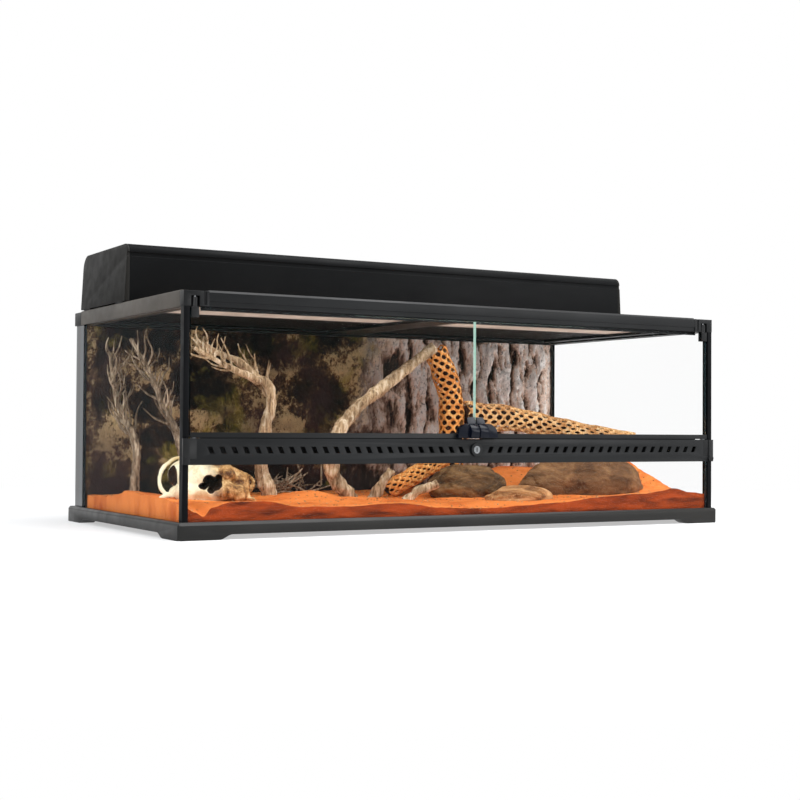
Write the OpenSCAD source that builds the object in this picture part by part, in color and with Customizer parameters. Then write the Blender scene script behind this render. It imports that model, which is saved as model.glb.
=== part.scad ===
// Reptile terrarium: a low glass tank with two front doors, a vent strip, a
// lift-off screen lid, a lighting hood and the furnishings that stand in it.
// Millimetres. X runs to the right, Y to the back and Z up. The origin is on
// the ground under the middle of the tank.

/* [Tank] */
// Width of the glass box over its side panels
tank_w = 907; // [880:1:980]
// Depth of the glass box over its front and back panels
tank_d = 460; // [440:1:500]
// Height of the tank to the top of its top frame
tank_h = 330; // [310:1:380]
// Thickness of the fixed glass panels
glass_t = 5; // [4:0.5:6]
// Gap between a glass panel and the groove that holds it
glass_gap = 0.3; // [0.1:0.05:0.5]

/* [Base frame] */
// Height of the base frame with its feet
base_h = 24; // [21:0.5:30]
// How far the base stands out past the glass at each side
base_out_x = 9.5; // [7:0.5:14]
// How far the base stands out past the glass at front and back
base_out_y = 7; // [6:0.5:12]
// Width of the ledge inside the glass that carries the floor panel
base_ledge = 9; // [6:0.5:14]
// Height of the underside of the glass above the ground
seat_z = 15; // [12:0.5:17]
// Height of the bevel along the top edge of the base
bevel_h = 4.5; // [2:0.5:6]
// Depth of that bevel
bevel_d = 3; // [1:0.5:4]
// Height of the feet under the rim
foot_h = 7; // [4:0.5:9]
// Length of each foot along the rim
foot_len = 78; // [50:1:110]
// Length of the curve between foot and rim
foot_sweep = 20; // [10:1:30]
// Radius of the upright corners of the base
base_r = 4; // [2:0.5:6]

/* [Top frame] */
// How far the top frame stands out past the glass
frame_out = 2.5; // [2:0.25:4]
// Height of the top frame's rails
rail_h = 22; // [20:0.5:26]
// Width of the front and side rails, seen from above
rail_w = 14; // [12:0.5:18]
// Width of the rear rail, which holds the cable inlets
rear_rail_w = 30; // [28:0.5:40]
// Width of the ledge under the lid
lid_ledge = 6; // [4:0.5:9]
// Thickness of that ledge
ledge_t = 3; // [2:0.25:4]
// Length of a corner block along the front
corner_len = 36; // [34:1:46]
// How deep the glass sits in the top frame
frame_bite = 12; // [8:0.5:14]
// How much lower the corner blocks are than the rails
corner_drop = 1.5; // [0.5:0.25:3]

/* [Vent strip and doors] */
// Height of the underside of the vent strip above the ground
strip_z = 99; // [85:1:110]
// Height of the strip's lower rail
strip_rail_h = 8; // [6:0.5:12]
// Height of the slotted face
strip_face_h = 27; // [25:0.5:32]
// Depth of the strip from front to back
strip_d = 13; // [12:0.5:16]
// Wall thickness of the strip
strip_t = 2.5; // [1.5:0.25:3]
// How far the strip stands out past the lower glass
strip_out = 4; // [3:0.25:5]
// Number of air slots in each half of the strip
slot_count = 24; // [8:1:26]
// Distance from one slot to the next
slot_pitch = 17; // [14:0.5:18]
// Height of a slot
slot_h = 9; // [5:0.5:12]
// Width of a slot
slot_w = 7; // [3:0.5:9]
// How far a slot leans over its height
slot_lean = 4; // [0:0.5:6]
// Thickness of the door glass
door_t = 4; // [3:0.5:5]
// Height of the profile along the bottom of a door
door_rail_h = 7; // [6:0.5:12]
// Wall of that profile beside the glass
door_rail_wall = 2.3; // [1.5:0.1:3]
// Gap between the door and the strip under it
door_gap = 1; // [0.5:0.1:2]
// Gap between the two doors where they meet
meet_gap = 1.8; // [1:0.1:3]
// Distance of a door's pivot from the inside of the side glass
pivot_in = 9; // [8.5:0.5:14]
// Radius of the hinge pins
pin_r = 2; // [1.5:0.1:2.5]
// Running clearance round a hinge pin, on the radius
pin_gap = 0.06; // [0.03:0.01:0.1]

/* [Handles and lock] */
// Half of the width of the pair of handles
handle_half = 34; // [28:1:42]
// Height of the handles
handle_h = 30; // [24:1:40]
// How far the handles stand out past the door profile
handle_out = 13; // [9:0.5:14]
// Radius of the lock's flange
lock_flange_r = 9.5; // [8:0.25:11]
// Radius of the lock's sleeve through the strip
lock_sleeve_r = 7.5; // [6.5:0.25:8]
// Radius of the turning plug
plug_r = 5.5; // [4:0.25:6]
// Thickness of the lock's cam
cam_t = 1.5; // [1:0.25:2]

/* [Screen lid] */
// Width of the lid frame's bars
lid_bar = 20; // [16:0.5:26]
// Height of the lid frame
lid_h = 16.5; // [13:0.5:17]
// Width of the bar across the middle of the lid
cross_bar = 56; // [40:1:80]
// Width of the step that carries the mesh
mesh_step = 4; // [3:0.5:6]
// Height of that step
mesh_step_h = 5; // [4:0.5:7]
// Thickness of the wire mesh
mesh_t = 0.8; // [0.5:0.1:1.2]
// Gap round the lid in the top frame
lid_gap = 0.4; // [0.2:0.1:0.8]

/* [Lid locks and cable inlets] */
// Distance of a lid lock from the middle
lock_slide_x = 150; // [100:5:200]
// Travel of a lid lock
lock_travel = 8; // [6:0.5:9]
// Distance of a cable inlet from the middle
inlet_x = 330; // [280:5:350]
// Width of a cable inlet
inlet_w = 34; // [20:1:40]
// Depth of a cable inlet
inlet_d = 10; // [8:0.5:12]
// Thickness of the inlet covers and lid locks
slide_t = 2; // [1.5:0.25:2.5]

/* [Hood] */
// Depth of the hood from front to back
hood_d = 203; // [190:1:210]
// Height of the hood with its pads
hood_h = 86; // [82:1:110]
// Distance of the hood's rear face from the glass's rear face
hood_back = 27; // [27:1:36]
// Wall thickness of the hood
hood_t = 2.5; // [2:0.25:3.5]
// Thickness of an end cap at its foot
cap_t = 8; // [7:0.5:12]
// Lean of the end caps in degrees
cap_lean = 3; // [0:0.5:4]
// Radius of the front top edge
hood_r_front = 12; // [6:0.5:13]
// Radius of the rear top edge
hood_r_rear = 20; // [8:0.5:30]
// Height of the groove along the front
hood_groove_h = 6; // [3:0.5:8]
// Depth of that groove
hood_groove_d = 1.2; // [0.6:0.1:1.6]
// Thickness of the pads under the hood
pad_t = 1.5; // [1:0.25:3]

/* [Lamps] */
// Number of lamps in the hood
lamp_count = 3; // [1:1:3]
// Distance from one lamp to the next
lamp_pitch = 285; // [200:5:285]
// Radius of a lamp holder
holder_r = 19; // [17:0.5:22]
// Length of a lamp holder
holder_len = 44; // [36:1:56]
// Radius of a bulb
bulb_r = 27; // [22:0.5:30]
// Length of a bulb outside its holder
bulb_len = 98; // [80:1:110]
// Radius of the bulb's screw cap
bulb_cap_r = 13; // [12:0.25:13.5]

/* [Furnishings] */
// Depth of the sand along the front
sand_h = 22; // [14:1:26]
// Height of the dune at the right rear over that sand
dune_h = 52; // [20:1:56]
// Least thickness of the rock background
rock_t = 20; // [14:1:24]
// Height of the ridges on the rock background
rock_relief = 14; // [6:1:16]
// Depth of the roughness on the background
rock_rough = 3; // [1:0.5:4]
// Clearance between a furnishing and the sand that it stands on
bed_gap = 0.3; // [0.1:0.1:0.6]

/* [Hidden] */
$fn = 48;

// Glass box
in_w = tank_w - 2 * glass_t;
front_y = -tank_d / 2;
back_y = tank_d / 2;
floor_z = seat_z + glass_t;
rail_z = tank_h - rail_h;
glass_top = rail_z + frame_bite;

// Base frame
base_w = tank_w + 2 * base_out_x;
base_d = tank_d + 2 * base_out_y;
foot_steps = 8;

// Top frame
frame_w = tank_w + 2 * frame_out;
frame_d = tank_d + 2 * frame_out;
ledge_z = rail_z;
lid_z = ledge_z + ledge_t;
lid_w = frame_w - 2 * rail_w - 2 * lid_gap;
lid_front = -frame_d / 2 + rail_w + lid_gap;
lid_back = frame_d / 2 - rear_rail_w - lid_gap;
side_len = frame_d - 2 * rail_w;
rib_w = 4;
rib_gap = 4;
pocket_w = 12;
pocket_h = 14;

// Front posts
post_in = 1;
post_out = 2;
post_d = 12.5;

// Vent strip
strip_front = front_y - strip_out;
strip_back = strip_front + strip_d;
face_z = strip_z + strip_rail_h;
strip_top = face_z + strip_face_h;
groove_h = 5;
flange_d = strip_d - 3;
slot_z = face_z + 11.5;
post_face = in_w / 2 - post_in;
strip_half = post_face - glass_gap;
hinge_lug = 10.5;
face_half = strip_half - hinge_lug;
lip_h = 5;
lip_t = 2;
lip_stop = 18;
lip_half = face_half - 8;

// Doors
door_mid = strip_front + 1 + door_rail_wall + door_t / 2;
door_half_t = door_t / 2 + door_rail_wall;
door_z = strip_top + door_gap;
lip_y = door_mid + door_half_t + 0.4;
door_foot = 2.5;
door_top = rail_z - 2;
pivot_x = in_w / 2 - pivot_in;
door_out = in_w / 2 - 3.3;
door_in = meet_gap / 2;
clip_w = 11;
clip_h = 13;
barrel_r = 4.2;
barrel_top = rail_z + 12;
pin_len = 6;
pin_low = 11;
collar_r = 4;

// Lock
lock_z = slot_z;
cam_y = strip_back - 1.6;
flange_t = 3;
cam_arm = 8;
cam_reach = door_z + 4.4 - lock_z;
cam_head = 4;
catch_arm_z = door_z + 4.8;
catch_t = 2;
catch_y = cam_y + cam_t + 1.2;
catch_in = 2;
catch_out = 12;

// Lid locks and inlets
tongue_z = lid_z + lid_h + 0.2;
lock_w = 24;
lock_len = 2 * lock_travel;
cover_lap_x = 4;
cover_lap_y = 2;
cover_w = inlet_w + 2 * cover_lap_x;
inlet_y = frame_d / 2 - rear_rail_w + 4.6;
slide_gap = 0.2;
finger_h = 0.8;

// Hood
hood_w = frame_w;
hood_rear = back_y - hood_back;
hood_front = hood_rear - hood_d;
hood_z = tank_h + pad_t;
hood_top = tank_h + hood_h;
shell_half = hood_w / 2 - cap_t;
groove_z = hood_top - hood_r_front - 1 - hood_groove_h;
lip_in = 0.2;
cap_lip = 6;
cap_lip_t = 2;
arc_steps = 8;
reflector_half = shell_half - cap_lip - 8;
reflector_t = 1;
reflector_z = hood_z + 14;
reflector_top = hood_top - hood_t - 12;
lamp_y = (hood_front + hood_rear) / 2;
lamp_z = tank_h + bulb_r + 12;
bracket_t = 3;
bulb_seat = 22;
gland_x = -hood_w / 2 + 120;
switch_x = gland_x + 70;
fitting_z = hood_z + 26;
gland_r = 9;
cable_r = 3.5;
rocker_r = 9;
rocker_w = 12;
rocker_tilt = 8;
bezel_t = 3;

// Furnishings: where they stand, measured from the nearest walls
inner_half = in_w / 2 - glass_gap;
sand_half = post_face - bed_gap;
relief_cells = 52;
bed_rows = 24;
wall_rows = 13;
sand_front = front_y + glass_t + glass_gap;
rock_back = back_y - glass_t - glass_gap;
rock_top = rail_z - 3;
left_in = -in_w / 2;
right_in = in_w / 2;
sand_top = floor_z + sand_h;
rock_face = rock_back - rock_t - rock_relief - rock_rough;
skull_at = [left_in + 86, front_y + 148];
skull_half = [54, 58, 36];

// Radii of the limbs at the foot and at the tip
branch_main_r = [13, 5];
branch_twin_r = [7, 4];
branch_lean_r = [13, 8];
branch_fork_r = [10, 8];
branch_low_r = [9, 7];
branch_left_r = [8, 4];
branch_side_r = [9, 4];
cholla_up_r = [20, 17];
cholla_across_r = [19, 10];
cholla_foot_r = [15, 12];
cholla_sides = 12;

// Paths of the limbs: places on the floor, with heights above the sand.
// Main branch, from the sand to its tip
branch_main = [
    [left_in + 229, 2, 0], [left_in + 212, 4, 50], [left_in + 218, 2, 104],
    [left_in + 229, 0, 156], [left_in + 206, 0, 182], [left_in + 176, 4, 206],
    [left_in + 135, 8, 222], [left_in + 108, 10, 236]
];
// Second strand beside the main branch
branch_twin = [
    [left_in + 204, -10, 173], [left_in + 166, -20, 188],
    [left_in + 128, -22, 206], [left_in + 92, -24, 224]
];
// Pale branch that leans to the right
branch_lean = [
    [right_in - 567, -70, 0], [right_in - 600, -68, 50], [right_in - 579, -66, 112],
    [right_in - 501, -62, 176], [right_in - 415, -58, 236]
];
// Short limbs beside its foot
branch_fork = [
    [right_in - 545, -94, 0], [right_in - 531, -97, 20], [right_in - 513, -100, 44]
];
branch_low = [
    [right_in - 509, -128, 0], [right_in - 489, -132, 10], [right_in - 457, -140, 24]
];
// Two branches at the left wall
branch_left = [
    [left_in + 44, 96, 0], [left_in + 46, 100, 86], [left_in + 28, 124, 140],
    [left_in + 18, 140, 222]
];
branch_side = [
    [left_in + 110, 56, 0], [left_in + 102, 60, 86], [left_in + 80, 62, 132],
    [left_in + 54, 64, 192], [left_in + 30, 78, 240]
];
// Cholla wood: the upright piece, the piece across and the piece at the foot
cholla_up = [
    [right_in - 346, 0, 0], [right_in - 346, 0, 70], [right_in - 345, 0, 130],
    [right_in - 348, 0, 166], [right_in - 362, 0, 206], [right_in - 380, 0, 238]
];
cholla_across = [
    [right_in - 327, -10, 126], [right_in - 250, -22, 124],
    [right_in - 180, -44, 114], [right_in - 100, -69, 104], [right_in - 24, -92, 94]
];
cholla_foot = [
    [right_in - 502, -52, 0], [right_in - 462, -46, 20], [right_in - 424, -34, 36],
    [right_in - 367, -12, 58]
];
// Rocks as [place on the floor, height of the middle, half sizes, phase of the bumps]
rock_list = [
    [[right_in - 380, -100], 18, [66, 44, 36], 20],
    [[right_in - 330, -168], 5, [54, 24, 15], 140],
    [[right_in - 164, -108], 20, [118, 56, 44], 260]
];
// Level places in the sand under the furnishings, as [x, y, half width, half depth]
bed_list = [
    [skull_at[0], skull_at[1], 78, 84],
    [branch_main[0][0], 2, 42, 42],
    [right_in - 531, -100, 76, 72],
    [branch_left[0][0], 96, 34, 34],
    [branch_side[0][0], 56, 34, 34],
    [right_in - 346, 0, 46, 46],
    [right_in - 496, -50, 50, 42],
    [right_in - 370, -112, 94, 92],
    [right_in - 164, -108, 140, 84]
];

// ---------- shared shapes ----------

// Rectangle with round corners, centred
module rounded(w, d, r) {
    square([w - 2 * r, d], center = true);
    square([w, d - 2 * r], center = true);
    for (x = [-1, 1], y = [-1, 1])
        translate([x * (w / 2 - r), y * (d / 2 - r)])
            circle(r);
}

// Box from one corner to the opposite one
module box(a, b) {
    translate(a)
        cube(b - a);
}

// Box and its mirror image on the other side of the tank
module box_pair(a, b) {
    box(a, b);
    mirror([1, 0, 0])
        box(a, b);
}

// Cylinder along Y from y0 to y1
module rod_y(x, z, y0, y1, r) {
    translate([x, y0, z])
        rotate([-90, 0, 0])
            cylinder(h = y1 - y0, r = r);
}

// Section drawn in Y and Z, extruded along X from x0 to x1
module along_x(x0, x1) {
    translate([x0, 0, 0])
        rotate([90, 0, 90])
            linear_extrude(x1 - x0)
                children();
}

// Section drawn in X and Z, extruded along Y from y0 to y1
module along_y(y0, y1) {
    translate([0, y1, 0])
        rotate([90, 0, 0])
            linear_extrude(y1 - y0)
                children();
}

// Points of an arc round c from angle a0 to a1
function arc(c, r, a0, a1, steps) = [
    for (i = [0:steps])
        let (a = a0 + (a1 - a0) * i / steps)
            [c[0] + r * cos(a), c[1] + r * sin(a)]
];

// Smooth hill of height 1 over the origin
function hill(x, y, sx, sy) = exp(-pow(x / sx, 2) - pow(y / sy, 2));

// Solid between z = 0 and the surface f(x, y) over a rectangle
module relief(x0, x1, y0, y1, nx, ny, f) {
    plan = [
        for (j = [0:ny], i = [0:nx])
            [x0 + (x1 - x0) * i / nx, y0 + (y1 - y0) * j / ny]
    ];
    top = [for (p = plan) [p[0], p[1], f(p[0], p[1])]];
    foot = [for (p = plan) [p[0], p[1], 0]];
    n = len(plan);
    row = nx + 1;
    skin = [
        for (j = [0:ny - 1], i = [0:nx - 1])
            let (p = j * row + i, q = p + row)
                each [
                    [p, q, q + 1], [p, q + 1, p + 1],
                    [n + p, n + q + 1, n + q], [n + p, n + p + 1, n + q + 1]
                ]
    ];
    walls_x = [
        for (i = [0:nx - 1])
            let (p = i, q = ny * row + i)
                each [
                    [p, p + 1, n + p + 1], [p, n + p + 1, n + p],
                    [q, n + q + 1, q + 1], [q, n + q, n + q + 1]
                ]
    ];
    walls_y = [
        for (j = [0:ny - 1])
            let (p = j * row, q = j * row + nx)
                each [
                    [p, n + p + row, p + row], [p, n + p, n + p + row],
                    [q, q + row, n + q + row], [q, n + q + row, n + q]
                ]
    ];
    polyhedron(concat(top, foot), concat(skin, walls_x, walls_y));
}

// Round limb along a path, thick at its foot and thin at its tip
module limb(path, radii, sides = 8) {
    last = len(path) - 1;
    points = [
        for (i = [0:last])
            let (
                ahead = path[min(i + 1, last)] - path[max(i - 1, 0)],
                t = ahead / norm(ahead),
                across = cross(t, [0, 1, 0]),
                n = across / norm(across),
                b = cross(t, n),
                r = radii[0] + (radii[1] - radii[0]) * i / last
            )
            for (k = [0:sides - 1])
                path[i] + r * cos(360 * k / sides) * n + r * sin(360 * k / sides) * b
    ];
    walls = [
        for (i = [0:last - 1], k = [0:sides - 1])
            let (a = i * sides + k, b = i * sides + (k + 1) % sides)
                each [[a, b, b + sides], [a, b + sides, a + sides]]
    ];
    foot = [for (k = [sides - 1:-1:0]) k];
    tip = [for (k = [0:sides - 1]) last * sides + k];
    polyhedron(points, concat(walls, [foot, tip]));
}

// Round solid about a middle point, with a flat foot at height z0. The function
// f(lat, lon) gives the distance factor in each direction.
module blob(centre, half, z0, rows, cols, f) {
    points = concat(
        [[centre[0], centre[1], z0]],
        [
            for (i = [1:rows - 1], k = [0:cols - 1])
                let (
                    lat = -90 + 180 * i / rows,
                    lon = 360 * k / cols,
                    r = f(lat, lon)
                )
                [
                    centre[0] + r * half[0] * cos(lat) * cos(lon),
                    centre[1] + r * half[1] * cos(lat) * sin(lon),
                    max(z0, centre[2] + r * half[2] * sin(lat))
                ]
        ],
        [centre + [0, 0, half[2] * f(90, 0)]]
    );
    top = len(points) - 1;
    last = 1 + (rows - 2) * cols;
    faces = concat(
        [for (k = [0:cols - 1]) [0, 1 + k, 1 + (k + 1) % cols]],
        [
            for (i = [0:rows - 3], k = [0:cols - 1])
                let (a = 1 + i * cols + k, b = 1 + i * cols + (k + 1) % cols)
                    each [[a, a + cols, b + cols], [a, b + cols, b]]
        ],
        [for (k = [0:cols - 1]) [top, last + (k + 1) % cols, last + k]]
    );
    polyhedron(points, faces);
}

// ---------- base and glass ----------

// Outline of a foot along the rim, from the middle outwards
module foot_outline(half) {
    polygon(concat(
        [
            for (i = [0:foot_steps])
                let (t = i / foot_steps)
                    [half - foot_len + foot_sweep * t, foot_h * (1 + cos(180 * t)) / 2]
        ],
        [[half - base_r, 0], [half, base_r / 2], [half, foot_h]]
    ));
}

module base_feet() {
    for (x = [0, 1], y = [0, 1])
        mirror([x, 0, 0])
            mirror([0, y, 0]) {
                along_y(-base_d / 2, -base_d / 2 + base_out_y + glass_t + base_ledge)
                    foot_outline(base_w / 2);
                along_x(base_w / 2 - base_out_x - glass_t - base_ledge, base_w / 2)
                    mirror([1, 0])
                        foot_outline(base_d / 2);
            }
}

// Long wedge that bevels one top edge of the base
module bevel_cut(half_span, edge) {
    along_x(-half_span, half_span)
        polygon([
            [-edge - 1, base_h - bevel_h],
            [-edge, base_h - bevel_h],
            [-edge + bevel_d, base_h],
            [-edge + bevel_d, base_h + 1],
            [-edge - 1, base_h + 1]
        ]);
}

module base_frame() {
    color("#33322f")
        difference() {
            union() {
                translate([0, 0, foot_h])
                    linear_extrude(base_h - foot_h)
                        rounded(base_w, base_d, base_r);
                intersection() {
                    base_feet();
                    linear_extrude(foot_h)
                        rounded(base_w, base_d, base_r);
                }
            }
            translate([0, 0, base_h / 2])
                cube([in_w - 2 * base_ledge, tank_d - 2 * glass_t - 2 * base_ledge,
                      base_h + 2], center = true);
            translate([0, 0, seat_z + base_h / 2])
                cube([tank_w + 2 * glass_gap, tank_d + 2 * glass_gap, base_h],
                     center = true);
            for (a = [0, 180])
                rotate(a) {
                    bevel_cut(base_w, base_d / 2);
                    rotate(90)
                        bevel_cut(base_d, base_w / 2);
                }
        }
}

module floor_glass() {
    color("#cfe3df", 0.4)
        box([-inner_half, sand_front, seat_z], [inner_half, rock_back, floor_z]);
}

module side_glass() {
    box([in_w / 2, front_y + 1, seat_z], [tank_w / 2, back_y - glass_t, glass_top]);
}

module right_glass() {
    color("#cfe3df", 0.4)
        side_glass();
}

module left_glass() {
    color("#cfe3df", 0.4)
        mirror([1, 0, 0])
            side_glass();
}

module back_glass() {
    color("#cfe3df", 0.4)
        box([-tank_w / 2, back_y - glass_t, seat_z], [tank_w / 2, back_y, glass_top]);
}

module lower_front_glass() {
    color("#cfe3df", 0.4)
        box([-strip_half, front_y, seat_z], [strip_half, front_y + glass_t,
                                            strip_z + groove_h]);
}

// Profiles that cover the front edges of the side glass
module front_posts() {
    color("#3a3c3d")
        for (side = [0, 1])
            mirror([side, 0, 0])
                difference() {
                    box([in_w / 2 - post_in, front_y - frame_out, base_h],
                        [tank_w / 2 + post_out, front_y - frame_out + post_d, rail_z]);
                    box([in_w / 2, front_y + 1, 0], [tank_w / 2, back_y, tank_h]);
                    // Room for the strip's end cap
                    box([0, front_y - frame_out - 1, strip_z],
                        [tank_w, front_y - frame_out + 0.8, strip_top]);
                }
}

// Beads of sealant in the two rear corners
module corner_seams() {
    bead = 4;
    color("#20242a")
        for (side = [0, 1])
            mirror([side, 0, 0])
                translate([0, 0, floor_z])
                    linear_extrude(rail_z - floor_z)
                        polygon([
                            [in_w / 2, back_y - glass_t],
                            [in_w / 2 - bead, back_y - glass_t],
                            [in_w / 2, back_y - glass_t - bead]
                        ]);
}

// ---------- top frame ----------

// Space that the tops of the glass panels fill in the frame
module glass_slots() {
    box_pair([in_w / 2 - glass_gap, front_y + 1 - glass_gap, rail_z - 1],
             [tank_w / 2 + glass_gap, back_y + glass_gap, glass_top]);
    box([-tank_w / 2, back_y - glass_t - glass_gap, rail_z - 1],
        [tank_w / 2, back_y + glass_gap, glass_top]);
}

module front_rail() {
    half = frame_w / 2 - corner_len;
    y0 = -frame_d / 2;
    y1 = y0 + rail_w;
    color("#4b4e50")
        along_x(-half, half)
            polygon([
                [y0, rail_z + 7], [y0 + 1, rail_z + 7], [y0 + 1, rail_z],
                [y1 + lid_ledge, rail_z], [y1 + lid_ledge, lid_z], [y1, lid_z],
                [y1, tank_h], [y0 + 3, tank_h], [y0, tank_h - 3]
            ]);
    color("#4b4e50") {
        box([-lip_half, lip_y, rail_z - lip_h], [lip_half, lip_y + lip_t, rail_z]);
        // Root of the lip inside the rail
        box([-half, lip_y, rail_z - lip_h], [half, lip_y + lip_t, rail_z + ledge_t / 2]);
    }
}

// Rail along the left side, between the front and rear corner blocks
module left_side_rail() {
    x0 = -frame_w / 2;
    difference() {
        along_y(-side_len / 2, frame_d / 2 - rear_rail_w)
            polygon([
                [x0, rail_z], [x0 + rail_w + lid_ledge, rail_z],
                [x0 + rail_w + lid_ledge, lid_z], [x0 + rail_w, lid_z],
                [x0 + rail_w, tank_h], [x0 + 1.5, tank_h], [x0, tank_h - 1.5]
            ]);
        glass_slots();
        // Mitre where the front and rear ledges pass
        box([x0 + rail_w, -frame_d, rail_z - 1],
            [0, -side_len / 2 + lid_ledge, lid_z + 1]);
    }
}

module left_rail() {
    color("#6a655f")
        left_side_rail();
}

module right_rail() {
    color("#3c3c3c")
        mirror([1, 0, 0])
            left_side_rail();
}

module rear_rail() {
    half = frame_w / 2 - rail_w;
    y0 = frame_d / 2 - rear_rail_w;
    color("#3a3a3a")
        difference() {
            union() {
                box([-half, y0, rail_z], [half, frame_d / 2, tank_h]);
                box([-half + lid_ledge, y0 - lid_ledge, rail_z], [half - lid_ledge, y0, lid_z]);
            }
            glass_slots();
            for (side = [0, 1])
                mirror([side, 0, 0]) {
                    // Cable inlet and the pocket that its cover slides in
                    box([inlet_x - inlet_w / 2, inlet_y, 0],
                        [inlet_x + inlet_w / 2, inlet_y + inlet_d, tank_h + 1]);
                    box([inlet_x - cover_w / 2 - inlet_w - slide_gap,
                         inlet_y - cover_lap_y - slide_gap, tank_h - slide_t - slide_gap],
                        [inlet_x + cover_w / 2 + slide_gap,
                         inlet_y + inlet_d + cover_lap_y + slide_gap, tank_h + 1]);
                    // Pocket that a lid lock slides in
                    box([lock_slide_x - lock_w / 2 - slide_gap, y0 - 1, tongue_z],
                        [lock_slide_x + lock_w / 2 + slide_gap,
                         y0 + lock_len + 1, tank_h + 1]);
                }
        }
}

// Corner block with the pocket for a door's upper hinge
module front_corner_block() {
    x1 = -frame_w / 2 + corner_len;
    y0 = -frame_d / 2;
    top = tank_h - corner_drop;
    pocket_x = -pivot_x - pocket_w / 2;
    rib_x = x1 - rib_w;
    difference() {
        box([-frame_w / 2, y0, rail_z], [x1, y0 + rail_w, top]);
        glass_slots();
        // Hinge pocket, open at the front and below
        box([pocket_x, y0 - 1, rail_z - 1], [pocket_x + pocket_w, y0 + rail_w - 2,
                                            rail_z + pocket_h]);
        translate([-pivot_x, door_mid, rail_z + pocket_h - 1])
            cylinder(h = pin_len, r = pin_r + pin_gap);
        // Slot between the two ribs of the face
        box([rib_x - rib_gap, y0 - 1, rail_z + 2], [rib_x, y0 + 2, top + 1]);
    }
}

module front_corner_blocks() {
    color("#4a4a48") {
        front_corner_block();
        mirror([1, 0, 0])
            front_corner_block();
    }
}

module rear_corner_blocks() {
    color("#4a4a48")
        for (side = [0, 1])
            mirror([side, 0, 0])
                difference() {
                    box([frame_w / 2 - rail_w, frame_d / 2 - rear_rail_w, rail_z],
                        [frame_w / 2, frame_d / 2, tank_h - corner_drop]);
                    glass_slots();
                }
}

// ---------- vent strip and lock ----------

// One leaning air slot, drawn in X and Z round its own middle
module slot_outline() {
    polygon([
        [-slot_w / 2 - slot_lean / 2, slot_h / 2], [slot_w / 2 - slot_lean / 2, slot_h / 2],
        [slot_w / 2 + slot_lean / 2, -slot_h / 2], [-slot_w / 2 + slot_lean / 2, -slot_h / 2]
    ]);
}

module strip_section() {
    y0 = strip_front;
    g0 = front_y - glass_gap;
    g1 = front_y + glass_t + glass_gap;
    polygon([
        [y0, strip_z], [g0, strip_z], [g0, strip_z + groove_h], [g1, strip_z + groove_h],
        [g1, strip_z], [strip_back, strip_z], [strip_back, face_z],
        [y0 + strip_t, face_z], [y0 + strip_t, strip_top - strip_t],
        [y0 + flange_d, strip_top - strip_t], [y0 + flange_d, strip_top], [y0, strip_top]
    ]);
}

module vent_strip() {
    color("#3c3e3e")
        difference() {
            union() {
                along_x(-face_half, face_half)
                    strip_section();
                box_pair([face_half, strip_front, strip_z],
                         [strip_half, front_y - glass_gap, face_z]);
                // Lips that the doors close against
                box_pair([lip_stop, strip_front + 1, strip_top - strip_t],
                         [lip_half, lip_y + lip_t, strip_top]);
                box_pair([lip_stop, lip_y, strip_top], [lip_half, lip_y + lip_t,
                                                       strip_top + lip_h]);
            }
            for (side = [0, 1])
                mirror([side, 0, 0])
                    for (i = [0:slot_count - 1])
                        translate([-slot_pitch * (i + 1.5), 0, slot_z])
                            along_y(strip_front - 1, strip_front + strip_t + 0.5)
                                slot_outline();
            rod_y(0, lock_z, strip_front - 1, strip_front + strip_t + 1, lock_sleeve_r);
        }
}

// Fine screen behind the slots
module vent_mesh() {
    y0 = strip_front + flange_d - 1.2;
    color("#222222")
        difference() {
            box([-face_half, y0, face_z], [face_half, y0 + 0.8, strip_top - strip_t]);
            rod_y(0, lock_z, y0 - 1, y0 + 2, lock_sleeve_r + 0.5);
        }
}

// End of the strip with the seat of a door's lower pin
module strip_end() {
    x1 = tank_w / 2 + post_out + 1;
    y0 = strip_front;
    difference() {
        union() {
            box([face_half, y0, face_z], [strip_half, strip_back, strip_top]);
            box([face_half, front_y + glass_t + glass_gap, strip_z],
                [strip_half, strip_back, face_z]);
            box([strip_half, y0 - 1.5, strip_z], [x1, front_y - frame_out + 0.6,
                                                 strip_top]);
            rod_y(x1 - 5, strip_z + 5, y0 - 2.5, y0 - 1, 5);
        }
        translate([pivot_x, door_mid, strip_top - pin_low])
            cylinder(h = pin_low + 1, r = pin_r + pin_gap);
    }
}

module strip_ends() {
    color("#1f2021") {
        strip_end();
        mirror([1, 0, 0])
            strip_end();
    }
}

module lock_housing() {
    y0 = strip_front;
    color("#222326")
        difference() {
            union() {
                rod_y(0, lock_z, y0 - flange_t, y0, lock_flange_r);
                rod_y(0, lock_z, y0, cam_y - 0.2, lock_sleeve_r - 0.1);
            }
            rod_y(0, lock_z, y0 - flange_t - 1, cam_y + 1, plug_r + pin_gap);
        }
}

module lock_plug() {
    y0 = strip_front - flange_t + 0.4;
    color("#9a9c9e")
        difference() {
            rod_y(0, lock_z, y0, cam_y, plug_r);
            box([-0.8, y0 - 1, lock_z - 3], [0.8, y0 + 4, lock_z + 3]);
        }
}

// Cam behind the strip: it points to the right when unlocked
module lock_cam() {
    color("#b0b2b4")
        along_y(cam_y, cam_y + cam_t)
            translate([0, lock_z])
                intersection() {
                    union() {
                        circle(plug_r + 1);
                        translate([0, -cam_arm / 2])
                            square([cam_reach, cam_arm]);
                        translate([cam_reach - cam_head, -cam_arm])
                            square([cam_head, 2 * cam_arm]);
                    }
                    circle(cam_reach);
                }
}

// ---------- doors, drawn for the right-hand side ----------

module door_glass() {
    box([door_in, door_mid - door_t / 2, door_z + door_foot],
        [door_out, door_mid + door_t / 2, door_top]);
}

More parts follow.
